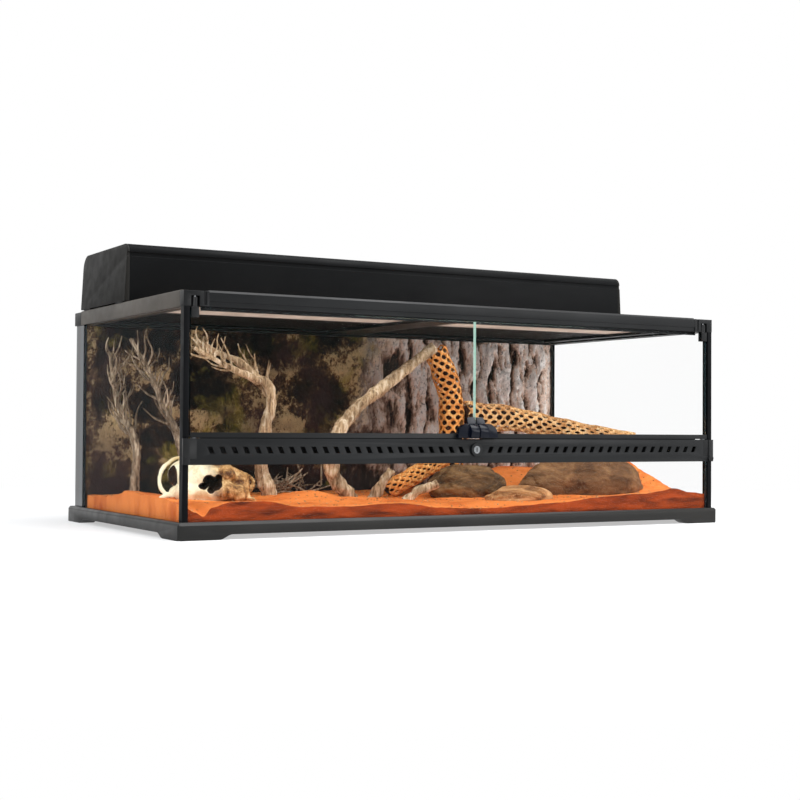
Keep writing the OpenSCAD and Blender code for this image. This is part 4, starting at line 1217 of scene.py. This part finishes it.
@dataclass
class Driftwood:
    """The dead branches and their twigs. Paths are in millimetres over the sand."""

    seed: int = 11
    twig: tuple[float, float] = (0.0022, 0.0007)
    stick: tuple[float, float] = (0.0020, 0.0009)

    def limbs(self) -> list[Limb]:
        """The pale branches.

        Returns:
            The limbs.
        """
        trunk = [(left(229), 2, -6), (left(214), 4, 50), (left(219), 2, 104), (left(228), 0, 150),
                 (left(222), 0, 172), (left(200), 1, 186), (left(176), 4, 206),
                 (left(135), 8, 222), (left(108), 10, 236)]
        twin = [(left(204), -4, 178), (left(166), -18, 190), (left(128), -22, 206),
                (left(92), -24, 224)]
        lean = [(left(330), -70, -6), (left(297), -68, 50), (left(318), -66, 112),
                (left(396), -62, 176), (left(482), -58, 236)]
        fork = [(left(352), -94, -6), (left(366), -97, 20), (left(384), -100, 44)]
        low = [(left(388), -128, -4), (left(408), -132, 10), (left(440), -140, 24)]
        return [Limb(metres(trunk), 0.0120, 0.0035), Limb(metres(twin), 0.0070, 0.0025),
                Limb(metres(lean), 0.013, 0.008), Limb(metres(fork), 0.010, 0.008),
                Limb(metres(low), 0.009, 0.007)]

    def side_limbs(self) -> list[Limb]:
        """The thin branches at the left wall.

        Returns:
            The limbs.
        """
        wall = [(left(44), 96, -4), (left(46), 100, 86), (left(28), 124, 140),
                (left(18), 140, 222)]
        side = [(left(110), 56, -4), (left(102), 60, 86), (left(80), 62, 132),
                (left(54), 64, 192), (left(30), 78, 240)]
        return [Limb(metres(wall), 0.0075, 0.0025), Limb(metres(side), 0.0085, 0.0025)]

    def twigs(self, limbs: Sequence[Limb], count: int, longest: float) -> list[Limb]:
        """Thin curved twigs that grow out of limbs.

        Args:
            limbs: Where they grow.
            count: Twigs on each limb.
            longest: Length of the longest.

        Returns:
            The twigs.
        """
        chance = random.Random(self.seed)
        found = []
        for limb in limbs:
            for _ in range(count):
                spot = chance.uniform(0.35, 0.98) * (len(limb.path) - 1)
                index = min(int(spot), len(limb.path) - 2)
                root = Vector(limb.path[index]).lerp(Vector(limb.path[index + 1]), spot - index)
                along = (Vector(limb.path[index + 1]) - Vector(limb.path[index])).normalized()
                out = Vector((chance.uniform(-1, 1), chance.uniform(-0.6, 0.6),
                              chance.uniform(-0.35, 0.8)))
                way = (along * 0.7 + out).normalized()
                length = longest * chance.uniform(0.4, 1.0)
                path = [root]
                for step in range(4):
                    turn = Vector((chance.uniform(-0.5, 0.5), chance.uniform(-0.4, 0.4),
                                   chance.uniform(-0.15, 0.5)))
                    way = (way + turn).normalized()
                    path.append(path[-1] + way * length / 4)
                if all(self.inside(place) for place in path):
                    found.append(Limb([tuple(p) for p in path], *self.twig))
        return found

    @staticmethod
    def inside(place: Vector) -> bool:
        """Whether a place lies inside the tank and clear of its walls."""
        return (abs(place.x) < 0.443 and -0.20 < place.y < 0.182 and 0.05 < place.z < 0.302)

    def brush(self) -> list[Limb]:
        """Dry sticks on the ground behind the trunk.

        Returns:
            The sticks.
        """
        chance = random.Random(self.seed + 1)
        found = []
        for _ in range(46):
            root = Vector((chance.uniform(left(250), left(345)), chance.uniform(40, 150),
                           chance.uniform(44, 62))) * MM
            way = Vector((chance.uniform(-1, 1), chance.uniform(-0.4, 0.4),
                          chance.uniform(0.0, 0.55))).normalized()
            path = [root]
            for _ in range(3):
                way = (way + Vector((0, 0, chance.uniform(-0.3, 0.2)))).normalized()
                path.append(path[-1] + way * chance.uniform(0.009, 0.017))
            found.append(Limb([tuple(p) for p in path], *self.stick))
        return found

    def build(self) -> None:
        """Make the branches and twigs."""
        main = self.limbs()
        pale = limb_skin("driftwood_limbs", main + self.twigs(main[:2], 16, 0.06), PALE_WOOD,
                         1.3, 75.0)
        hand_over(pale, "tank", "pale_wood", "driftwood")
        sides = self.side_limbs()
        grey = limb_skin("side_limbs", sides + self.twigs(sides, 36, 0.07), GREY_WOOD,
                         1.1, 90.0, sides=14)
        hand_over(grey, "tank", "grey_wood", "side_branches")
        hand_over(limb_skin("dry_sticks", self.brush(), GREY_WOOD, 0.5, 120.0, sides=8), "tank",
                  "grey_wood")


@dataclass
class Cholla:
    """Cholla wood: tubes of wooden net with oval holes. Paths are in millimetres."""

    row: float = 8.5
    around: int = 8
    wall: float = 3.6
    rib: float = 2.1
    shade_core_share: float = 0.62
    shade_core_sides: int = 12
    seed: int = 3

    def pieces(self) -> dict[str, tuple[list[Point], float, float]]:
        """The three tubes.

        Returns:
            Path, foot radius and tip radius of each by its name.
        """
        return {
            "cholla_upright": ([(right(346), 0, 0), (right(346), 0, 70), (right(345), 0, 130),
                                (right(348), 0, 166), (right(362), 0, 206),
                                (right(380), 0, 244)], 24, 20),
            "cholla_across": ([(right(332), -10, 130), (right(250), -22, 127),
                               (right(180), -44, 115), (right(100), -69, 103),
                               (right(24), -92, 94)], 25, 8),
            "cholla_foot": ([(right(502), -52, 10), (right(462), -46, 26), (right(424), -34, 40),
                             (right(362), -12, 66)], 14, 13),
        }

    def build(self) -> None:
        """Make the three tubes."""
        for name, (path, foot, tip) in self.pieces().items():
            item = self.tube(name, metres(path), foot * MM, tip * MM)
            hand_over(item, "tank", "cholla", "cholla_wood")

    def tube(self, name: str, path: Path, foot: float, tip: float) -> bpy.types.Object:
        """One tube of net round a dark core of painted shade.

        Args:
            name: Name of the piece.
            path: Its path.
            foot: Radius at its start.
            tip: Radius at its end.

        Returns:
            The piece, not yet on a body.
        """
        chance = random.Random(self.seed + len(path))
        line = smooth_line(path, self.row * MM)
        frames = frames_along(line)
        rows = len(line)
        work = bmesh.new()
        rings = []
        for i, (place, first, second) in enumerate(frames):
            radius = (foot + (tip - foot) * i / (rows - 1)) * (1 + 0.06 * math.sin(i * 0.9))
            ring = []
            for k in range(self.around):
                angle = 2 * math.pi * (k + 0.5 * (i % 2)) / self.around
                angle += chance.uniform(-0.07, 0.07)
                reach = radius * chance.uniform(0.93, 1.0)
                slip = chance.uniform(-0.9, 0.9) * MM
                way = first * math.cos(angle) + second * math.sin(angle)
                ring.append(work.verts.new(place + way * reach + first.cross(second) * slip))
            rings.append(ring)
        for i in range(rows - 2):
            for k in range(self.around):
                ahead = (k + 1) % self.around if i % 2 else k
                behind = ahead - 1
                work.faces.new((rings[i][k], rings[i + 1][ahead], rings[i + 2][k],
                                rings[i + 1][behind]))
        made = bmesh.ops.inset_individual(work, faces=list(work.faces), thickness=self.rib * MM,
                                          use_even_offset=True)
        holes = [f for f in work.faces if f not in set(made["faces"])]
        bmesh.ops.delete(work, geom=holes, context="FACES")
        item = shown(name, work, CHOLLA_TAN if name == "cholla_across" else CHOLLA_WOOD)
        thick = item.modifiers.new("wall", "SOLIDIFY")
        thick.thickness = self.wall * MM
        thick.offset = -1
        soft = item.modifiers.new("soft", "SUBSURF")
        soft.levels = soft.render_levels = 2 if name == "cholla_across" else 1
        applied(item)
        # Second material: the painted shade of the dark core.
        item.data.materials.append(finish(CHOLLA_SHADE_CORE))
        self.shade_core(item, frames, foot, tip)
        return item

    def shade_core(self, item: bpy.types.Object, frames: Sequence[tuple[Vector, Vector, Vector]],
              foot: float, tip: float) -> None:
        """Add a dark core inside a tube of net as painted shade, so that its holes look dark.

        Args:
            item: The piece.
            frames: Places along the path with the two ways across it.
            foot: Radius of the net at its start.
            tip: Radius of the net at its end.
        """
        work = bmesh.new()
        work.from_mesh(item.data)
        count = self.shade_core_sides
        angles = [2 * math.pi * k / count for k in range(count)]
        rings = []
        for i, (place, first, second) in enumerate(frames[1:-1]):
            radius = self.shade_core_share * (foot + (tip - foot) * i / len(frames))
            rings.append([
                work.verts.new(place + radius * (first * math.cos(a) + second * math.sin(a)))
                for a in angles])
        faces = [work.faces.new((a[k], a[(k + 1) % count], b[(k + 1) % count], b[k]))
                 for a, b in zip(rings, rings[1:]) for k in range(count)]
        faces += [work.faces.new(rings[0][::-1]), work.faces.new(rings[-1])]
        bmesh.ops.recalc_face_normals(work, faces=faces)
        for face in faces:
            face.material_index = 1
            face.smooth = True
        work.to_mesh(item.data)
        work.free()


FINE_STEPS = 20  # between two knots of a smooth line


def smooth_line(path: Path, spacing: float) -> list[Vector]:
    """Evenly spaced points on a smooth line through a path.

    Args:
        path: The points it goes through.
        spacing: Distance between the points.

    Returns:
        The points.
    """
    knots = [Vector(p) for p in path]
    ends = [2 * knots[0] - knots[1], *knots, 2 * knots[-1] - knots[-2]]
    fine = []
    for a, b, c, d in zip(ends, ends[1:], ends[2:], ends[3:]):
        for step in range(FINE_STEPS):
            t = step / FINE_STEPS
            fine.append(0.5 * ((2 * b) + (c - a) * t + (2 * a - 5 * b + 4 * c - d) * t * t
                               + (3 * b - a - 3 * c + d) * t ** 3))
    fine.append(knots[-1])
    line = [fine[0]]
    for place in fine:
        while (place - line[-1]).length >= spacing:
            line.append(line[-1] + (place - line[-1]).normalized() * spacing)
    return line


def frames_along(line: Sequence[Vector]) -> list[tuple[Vector, Vector, Vector]]:
    """Each point of a line with two ways across it that don't twist.

    Args:
        line: The points.

    Returns:
        Point, first way and second way for each.
    """
    first = Vector((0, 1, 0))
    found = []
    for i, place in enumerate(line):
        ahead = (line[min(i + 1, len(line) - 1)] - line[max(i - 1, 0)]).normalized()
        first = (first - ahead * first.dot(ahead)).normalized()
        found.append((place, first.copy(), ahead.cross(first)))
    return found


@dataclass
class Rocks:
    """The three rocks on the sand. Sizes are in millimetres."""

    detail: int = 5

    def build(self) -> None:
        """Make the rocks."""
        dark, flat, large = (right(380), -100, 18), (right(326), -168, 3), (right(158), -108, 18)
        self.rock("rock_dark", dark, (66, 44, 36), DARK_ROCK, 0.16, 2.0)
        self.rock("rock_flat", flat, (58, 24, 17), FLAT_ROCK, 0.2, 8.0)
        self.rock("boulder", large, (124, 56, 46), BOULDER, 0.09, 5.0)

    def rock(self, name: str, centre: Point, half: Point, recipe: Recipe, lumps: float,
             phase: float) -> None:
        """One rock.

        Args:
            name: Name of the piece.
            centre: Its middle, over the sand.
            half: Its half sizes.
            recipe: Its finish.
            lumps: How uneven it is.
            phase: Place in the noise, so that each rock differs.
        """
        work = bmesh.new()
        bmesh.ops.create_icosphere(work, subdivisions=self.detail + 1, radius=1)
        for vertex in work.verts:
            way = vertex.co.normalized()
            big = noise.fractal(way * 1.3 + Vector((phase, 0, 0)), 1.0, 2.0, 3)
            facet = noise.ridged_multi_fractal(way * 1.8 + Vector((0, phase, 0)), 1.0, 2.0, 3,
                                               0.8, 1.5)
            small = noise.fractal(way * 9 + Vector((0, 0, phase)), 0.8, 2.1, 4)
            reach = 0.97 + lumps * big + 0.06 * lumps * facet + 0.02 * small
            place = Vector([way[a] * half[a] * min(reach, 1.06) + centre[a] for a in range(3)])
            place.z = SAND_TOP + max(place.z, -2)
            vertex.co = place * MM
        hand_over(shown(name, work, recipe), "tank", "rock", "rocks")


@dataclass
class Skull:
    """Animal skull with a nasal opening, eye sockets, cheek arches and teeth, in millimetres."""

    centre: Point = (left(88), -80, SAND_TOP - 1)
    turn: float = -0.36
    hollow_reach: float = 1.1
    voxel: float = 1.5

    def build(self) -> None:
        """Make the skull."""
        bone = self.blobs("skull_bone", self.bones(), self.arches())
        holes = self.blobs("skull_holes", self.sockets(), [])
        cut = bone.modifiers.new("sockets", "BOOLEAN")
        cut.operation = "DIFFERENCE"
        cut.solver = "EXACT"
        cut.object = holes
        fine = bone.modifiers.new("skin", "REMESH")
        fine.mode = "VOXEL"
        fine.voxel_size = self.voxel * MM
        soft = bone.modifiers.new("soft", "SMOOTH")
        soft.factor = 0.5
        soft.iterations = 7
        applied(bone)
        bpy.data.objects.remove(holes)
        self.shade_hollows(bone.data)
        turn = Matrix.Rotation(self.turn, 4, "Z")
        for vertex in bone.data.vertices:
            place = vertex.co / MM
            rough = noise.fractal(place * 0.09, 0.8, 2.1, 4)
            place += Vector(vertex.normal) * rough * 1.1
            place.z = max(place.z, -1.0)
            vertex.co = (turn @ place + Vector(self.centre)) * MM
        bone.data.update()
        bone.name = "skull_bone"
        hand_over(bone, "tank", "bone", "skull")

    @staticmethod
    def bones() -> list[tuple[Point, Point]]:
        """The rounded masses of the bone.

        Returns:
            A middle and half sizes for each.
        """
        masses = [((-8, 30, 40), (38, 36, 27)), ((-20, 2, 40), (34, 28, 24)),
                  ((14, 2, 36), (36, 26, 22)), ((-4, -24, 32), (36, 26, 24)),
                  ((10, -40, 18), (36, 18, 17)), ((-26, -38, 16), (18, 16, 16)),
                  ((40, -34, 14), (17, 16, 14)), ((52, -18, 15), (11, 14, 12)),
                  ((-42, -16, 12), (11, 13, 13)), ((30, -30, 40), (12, 14, 10)),
                  ((40, -6, 32), (22, 24, 16)), ((50, -14, 24), (13, 15, 10))]
        for k in range(-6, 8):
            masses.append(((5.4 * k, -50 + 0.4 * k * k, 5), (2.5, 2.5, 7)))
        return masses

    @staticmethod
    def arches() -> list[tuple[Path, float]]:
        """The cheek arches and brow ridges.

        Returns:
            A path and a radius for each.
        """
        return [([(-34, -24, 10), (-52, -26, 12), (-64, -14, 24), (-62, 4, 46), (-44, 20, 62),
                  (-24, 26, 64)], 3.4),
                ([(-54, -26, 12), (-66, -32, 6), (-72, -32, 1)], 4.0),
                ([(44, -22, 14), (62, -14, 18), (68, 4, 30), (56, 22, 40), (34, 36, 42)], 3.8),
                ([(54, -24, 10), (66, -24, 6), (70, -20, 1)], 3.6),
                ([(10, -34, 48), (28, -28, 51), (46, -12, 44), (54, 4, 36)], 4.2)]

    @staticmethod
    def sockets() -> list[tuple[Point, Point]]:
        """The openings in the bone.

        Returns:
            A middle and half sizes for each.
        """
        return [((3, -58, 33), (8, 40, 8)), ((11, -58, 29), (10, 40, 9)),
                ((-4, -58, 26), (7, 40, 4.5)), ((17, -58, 36), (5, 36, 6)),
                ((6, -58, 20), (5, 36, 4)), ((-46, -8, 38), (9, 14, 14)),
                ((-4, 6, 0), (28, 34, 12))]

    def shade_hollows(self, mesh: bpy.types.Mesh) -> None:
        """Give the walls of the openings a dark material as painted shade.

        Args:
            mesh: Mesh of the bone in its own frame.
        """
        mesh.materials.append(finish(BONE_HOLLOW_SHADE))
        for face in mesh.polygons:
            face.use_smooth = True
            place = face.center / MM
            reach = min(math.hypot((place.x - c[0]) / h[0], (place.y - c[1]) / h[1],
                                   (place.z - c[2]) / h[2]) for c, h in self.sockets()[:-1])
            if reach < self.hollow_reach:
                face.material_index = 1

    def blobs(self, name: str, masses: Sequence[tuple[Point, Point]],
              tubes: Sequence[tuple[Path, float]]) -> bpy.types.Object:
        """Joined round masses and tubes as one closed skin in its own frame.

        Args:
            name: Name of the object.
            masses: Middles and half sizes.
            tubes: Paths and radii.

        Returns:
            The object.
        """
        work = bmesh.new()
        for centre, half in masses:
            size = Matrix.Diagonal((*(h * MM for h in half), 1))
            bmesh.ops.create_icosphere(work, subdivisions=4, radius=1,
                                       matrix=Matrix.Translation(Vector(centre) * MM) @ size)
        for path, radius in tubes:
            for place in smooth_line([(x * MM, y * MM, z * MM) for x, y, z in path], 0.0016):
                bmesh.ops.create_icosphere(work, subdivisions=2, radius=radius * MM,
                                           matrix=Matrix.Translation(place))
        item = shown(name, work, BONE)
        join = item.modifiers.new("join", "REMESH")
        join.mode = "VOXEL"
        join.voxel_size = self.voxel * MM
        return applied(item)


# ------------------------------------------------------------------- the tank


@dataclass
class Tank:
    """Base, glass, posts, top frame and vent strip."""

    rounding: float = 0.0007
    pitch: float = 0.0013
    wire: float = 0.0009

    def build(self) -> None:
        """Dress the nodes of the tank and round the edges of its plastic."""
        dress(SIDE_PANE, "left_glass", "right_glass")
        dress(FRONT_PANE, "back_glass", "lower_front_glass")
        dress(FLOOR_PANE, "floor_glass")
        dress(SEALANT, "corner_seams")
        rounded("base_frame", BASE_PLASTIC, "tank", "base_plastic", self.rounding)
        for node, recipe in (("front_rail", FRAME_PLASTIC), ("left_rail", LIT_SIDE_PLASTIC),
                             ("right_rail", FRAME_PLASTIC), ("rear_rail", FRAME_PLASTIC),
                             ("front_corner_blocks", FRAME_PLASTIC),
                             ("rear_corner_blocks", FRAME_PLASTIC),
                             ("vent_strip", FRAME_PLASTIC), ("front_posts", POST_PLASTIC)):
            rounded(node, recipe, "tank", "frame_plastic", self.rounding)
        rounded("strip_ends", TRIM_PLASTIC, "tank", "trim_plastic", self.rounding)
        cloth = WireCloth("vent_cloth", *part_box("vent_mesh"), Axis.Y, self.pitch, self.wire)
        hand_over(cloth.build(DARK_WIRE), "tank", "mesh_steel", "vent_mesh")


@dataclass
class Doors:
    """The two doors with their handles and hinges, and the lock."""

    rounding: float = 0.0005
    handle_rounding: float = 0.0012

    def build(self) -> None:
        """Dress both doors and the lock."""
        for side in Side:
            dress(DOOR_PANE, side.name_of("door_glass"))
            dress(STEEL, side.name_of("hinge_pins"))
            dress(TRIM_PLASTIC, side.name_of("catch"))
            for part, recipe, slot, width in (
                    ("door_rail", FRAME_PLASTIC, "frame_plastic", self.rounding),
                    ("hinge_clip", TRIM_PLASTIC, "trim_plastic", self.rounding),
                    ("handle", GLOSS_PLASTIC, "handle_plastic", self.handle_rounding)):
                rounded(side.name_of(part), recipe, side.name_of("door"), slot, width, 3)
        dress(TRIM_PLASTIC, "lock_housing")
        dress(STEEL, "lock_plug", "lock_cam")


@dataclass
class Lid:
    """Screen lid with its woven wire, the lid locks and the inlet covers."""

    rounding: float = 0.0006
    pitch: float = 0.0021
    wire: float = 0.00055
    bead: float = 0.0012

    def build(self) -> None:
        """Dress the lid and weave its wire."""
        rounded("screen_frame", FRAME_PLASTIC, "screen_lid", "frame_plastic", self.rounding)
        for side in Side:
            node = side.name_of("screen_mesh")
            low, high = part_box(node)
            cloth = WireCloth(side.name_of("wire_cloth"), low, high, Axis.Z, self.pitch, self.wire)
            hand_over(cloth.build(WIRE), "screen_lid", "mesh_steel", node)
            hand_over(self.spline(side, low, high), "screen_lid", "pad_rubber")
            dress(TRIM_PLASTIC, side.name_of("lid_lock"), side.name_of("inlet_cover"))

    def spline(self, side: Side, low: Vector, high: Vector) -> bpy.types.Object:
        """Rubber bead that holds the wire down along its edges.

        Args:
            side: Which half.
            low: Lowest corner of the wire.
            high: Highest corner of the wire.

        Returns:
            The bead, not yet on a body.
        """
        inset = 1.4 * self.bead
        z = high.z + 0.8 * self.bead
        turns = [(low.x + inset, low.y + inset, z), (high.x - inset, low.y + inset, z),
                 (high.x - inset, high.y - inset, z), (low.x + inset, high.y - inset, z)]
        sides = [Limb([start, end], self.bead, self.bead)
                 for start, end in zip(turns, turns[1:] + turns[:1])]
        return limb_skin(side.name_of("mesh_bead"), sides, PAD_RUBBER, 0.0, 10.0, 0.05, 10)


@dataclass
class Hood:
    """Lighting hood with its lamps, gland and switch."""

    rounding: float = 0.0008

    def build(self) -> None:
        """Dress the hood."""
        for node, recipe in (("hood_shell", HOOD_PLASTIC), ("left_hood_cap", CAP_PLASTIC),
                             ("right_hood_cap", CAP_PLASTIC)):
            rounded(node, recipe, "hood", "hood_plastic", self.rounding)
        for recipe, *nodes in ((PAD_RUBBER, "hood_pads"), (SHEET_METAL, "reflector"),
                               (STEEL, "lamp_brackets"), (HOLDER_GLAZE, "lamp_holders"),
                               (BULB_GLASS, "bulbs"), (GLOSS_PLASTIC, "switch_rocker"),
                               (TRIM_PLASTIC, "cable_gland", "switch_bezel")):
            dress(recipe, *nodes)


# ---------------------------------------------------------------------- studio


@dataclass
class Softbox:
    """Soft lamp aimed at the tank."""

    place: Point
    size: float
    power: float


@dataclass
class Studio:
    """Pale floor, soft light and the camera at the photograph's angle."""

    eye: Point = (-1.157, -2.0106, 0.1461)
    yaw: float = 0.5245
    pitch: float = 0.021
    roll: float = 0.006
    lens: float = 65.1
    sky: tuple[float, float, float, float] = (0.93, 0.96, 1.0, 1)
    ambient: float = 0.8
    glow: float = 0.5
    floor_radius: float = 9.0
    floor_sides: int = 64
    boxes: tuple[Softbox, ...] = (
        Softbox((0.5, -0.9, 2.3), 2.4, 95.0),
        Softbox((-2.0, -2.2, 1.3), 1.4, 34.0),
        Softbox((1.6, -2.6, 1.0), 1.6, 24.0),
    )

    def build(self) -> None:
        """Make the stage, the lamps and the camera."""
        self.camera()
        self.world()
        self.floor()
        for index, box in enumerate(self.boxes):
            self.lamp(f"softbox_{index}", box)
        bpy.context.scene.view_settings.view_transform = "Standard"

    def camera(self) -> None:
        """Put the camera where the photograph was taken."""
        data = bpy.data.cameras.new("camera")
        data.lens = self.lens
        item = linked("camera", data)
        ahead = Vector((math.sin(self.yaw) * math.cos(self.pitch),
                        math.cos(self.yaw) * math.cos(self.pitch), math.sin(self.pitch)))
        side = Vector((math.cos(self.yaw), -math.sin(self.yaw), 0))
        up = side.cross(ahead)
        across = side * math.cos(self.roll) + up * math.sin(self.roll)
        upward = up * math.cos(self.roll) - side * math.sin(self.roll)
        turn = Matrix((across, upward, -ahead)).transposed().to_4x4()
        item.matrix_world = Matrix.Translation(self.eye) @ turn
        bpy.context.scene.camera = item

    @staticmethod
    def seen(sheet: Tree) -> bpy.types.NodeSocket:
        """1 for the rays that show the background: camera, glossy and transmission.

        Args:
            sheet: The tree to add to.

        Returns:
            The value.
        """
        path = sheet.add("LightPath").outputs
        value = sheet.maths("MAXIMUM", path["Is Camera Ray"], path["Is Glossy Ray"])
        return sheet.maths("MAXIMUM", value, path["Is Transmission Ray"])

    @staticmethod
    def blend(sheet: Tree, share: bpy.types.NodeSocket, first: bpy.types.Node,
              second: bpy.types.Node, output: str) -> None:
        """Send a mix of two shaders to the output of a tree.

        Args:
            sheet: The tree.
            share: Share of the second.
            first: The first shader.
            second: The second shader.
            output: Name of the output node.
        """
        mix = sheet.add("MixShader")
        for socket, value in zip(mix.inputs, (share, first.outputs[0], second.outputs[0])):
            sheet.feed(socket, value)
        sheet.feed(sheet.tree.nodes[output].inputs["Surface"], mix.outputs[0])

    def world(self) -> None:
        """Even ambient light, with white where the background shows."""
        world = bpy.data.worlds.new("studio")
        bpy.context.scene.world = world
        world.use_nodes = True
        sheet = Tree(world.node_tree)
        light = sheet.tree.nodes["Background"]
        sheet.feed(light.inputs["Color"], self.sky)
        sheet.feed(light.inputs["Strength"], self.ambient)
        white = sheet.add("Background", Color=(1, 1, 1, 1), Strength=1.0)
        self.blend(sheet, self.seen(sheet), light, white, "World Output")

    def floor(self) -> None:
        """Pale floor that keeps the tank's shadow and runs out to white."""
        sheet = NodeSheet("studio_floor")
        sheet.surface(Base_Color=(0.86, 0.86, 0.86), Roughness=0.9, Specular_IOR_Level=0.1)
        reach = sheet.add("VectorMath", {"operation": "LENGTH"})
        sheet.feed(reach.inputs[0], sheet.coordinates["Object"])
        far = sheet.spread(reach.outputs["Value"], self.glow, 1.0, 0.6, 1.6)
        self.blend(sheet, sheet.times(self.seen(sheet), far), sheet.shader,
                   sheet.add("Emission", Strength=1.0), "Material Output")
        mesh = bpy.data.meshes.new("studio_floor")
        angles = [math.tau * k / self.floor_sides for k in range(self.floor_sides)]
        mesh.from_pydata([(self.floor_radius * math.cos(a), self.floor_radius * math.sin(a), 0)
                          for a in angles], [], [tuple(range(self.floor_sides))])
        mesh.materials.append(sheet.material)
        linked("studio_floor", mesh)

    def lamp(self, name: str, box: Softbox) -> None:
        """One soft lamp.

        Args:
            name: Name of the lamp.
            box: Its place, size and power.
        """
        data = bpy.data.lights.new(name, "AREA")
        data.shape = "DISK"
        data.size = box.size
        data.energy = box.power
        item = linked(name, data)
        item.location = box.place
        aim = Vector((0, 0, 0.15)) - Vector(box.place)
        item.rotation_euler = aim.to_track_quat("-Z", "Y").to_euler()


def main() -> None:
    """Build and dress the whole terrarium."""
    logging.basicConfig(level=logging.INFO, format="%(message)s")
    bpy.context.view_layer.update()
    Studio().build()
    for group in (Tank(), Doors(), Lid(), Hood(), SandBed(), RockWall(), Skull(), Driftwood(),
                  Cholla(), Rocks()):
        LOG.info("building %s", type(group).__name__)
        group.build()
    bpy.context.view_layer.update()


if __name__ == "__main__":
    main()
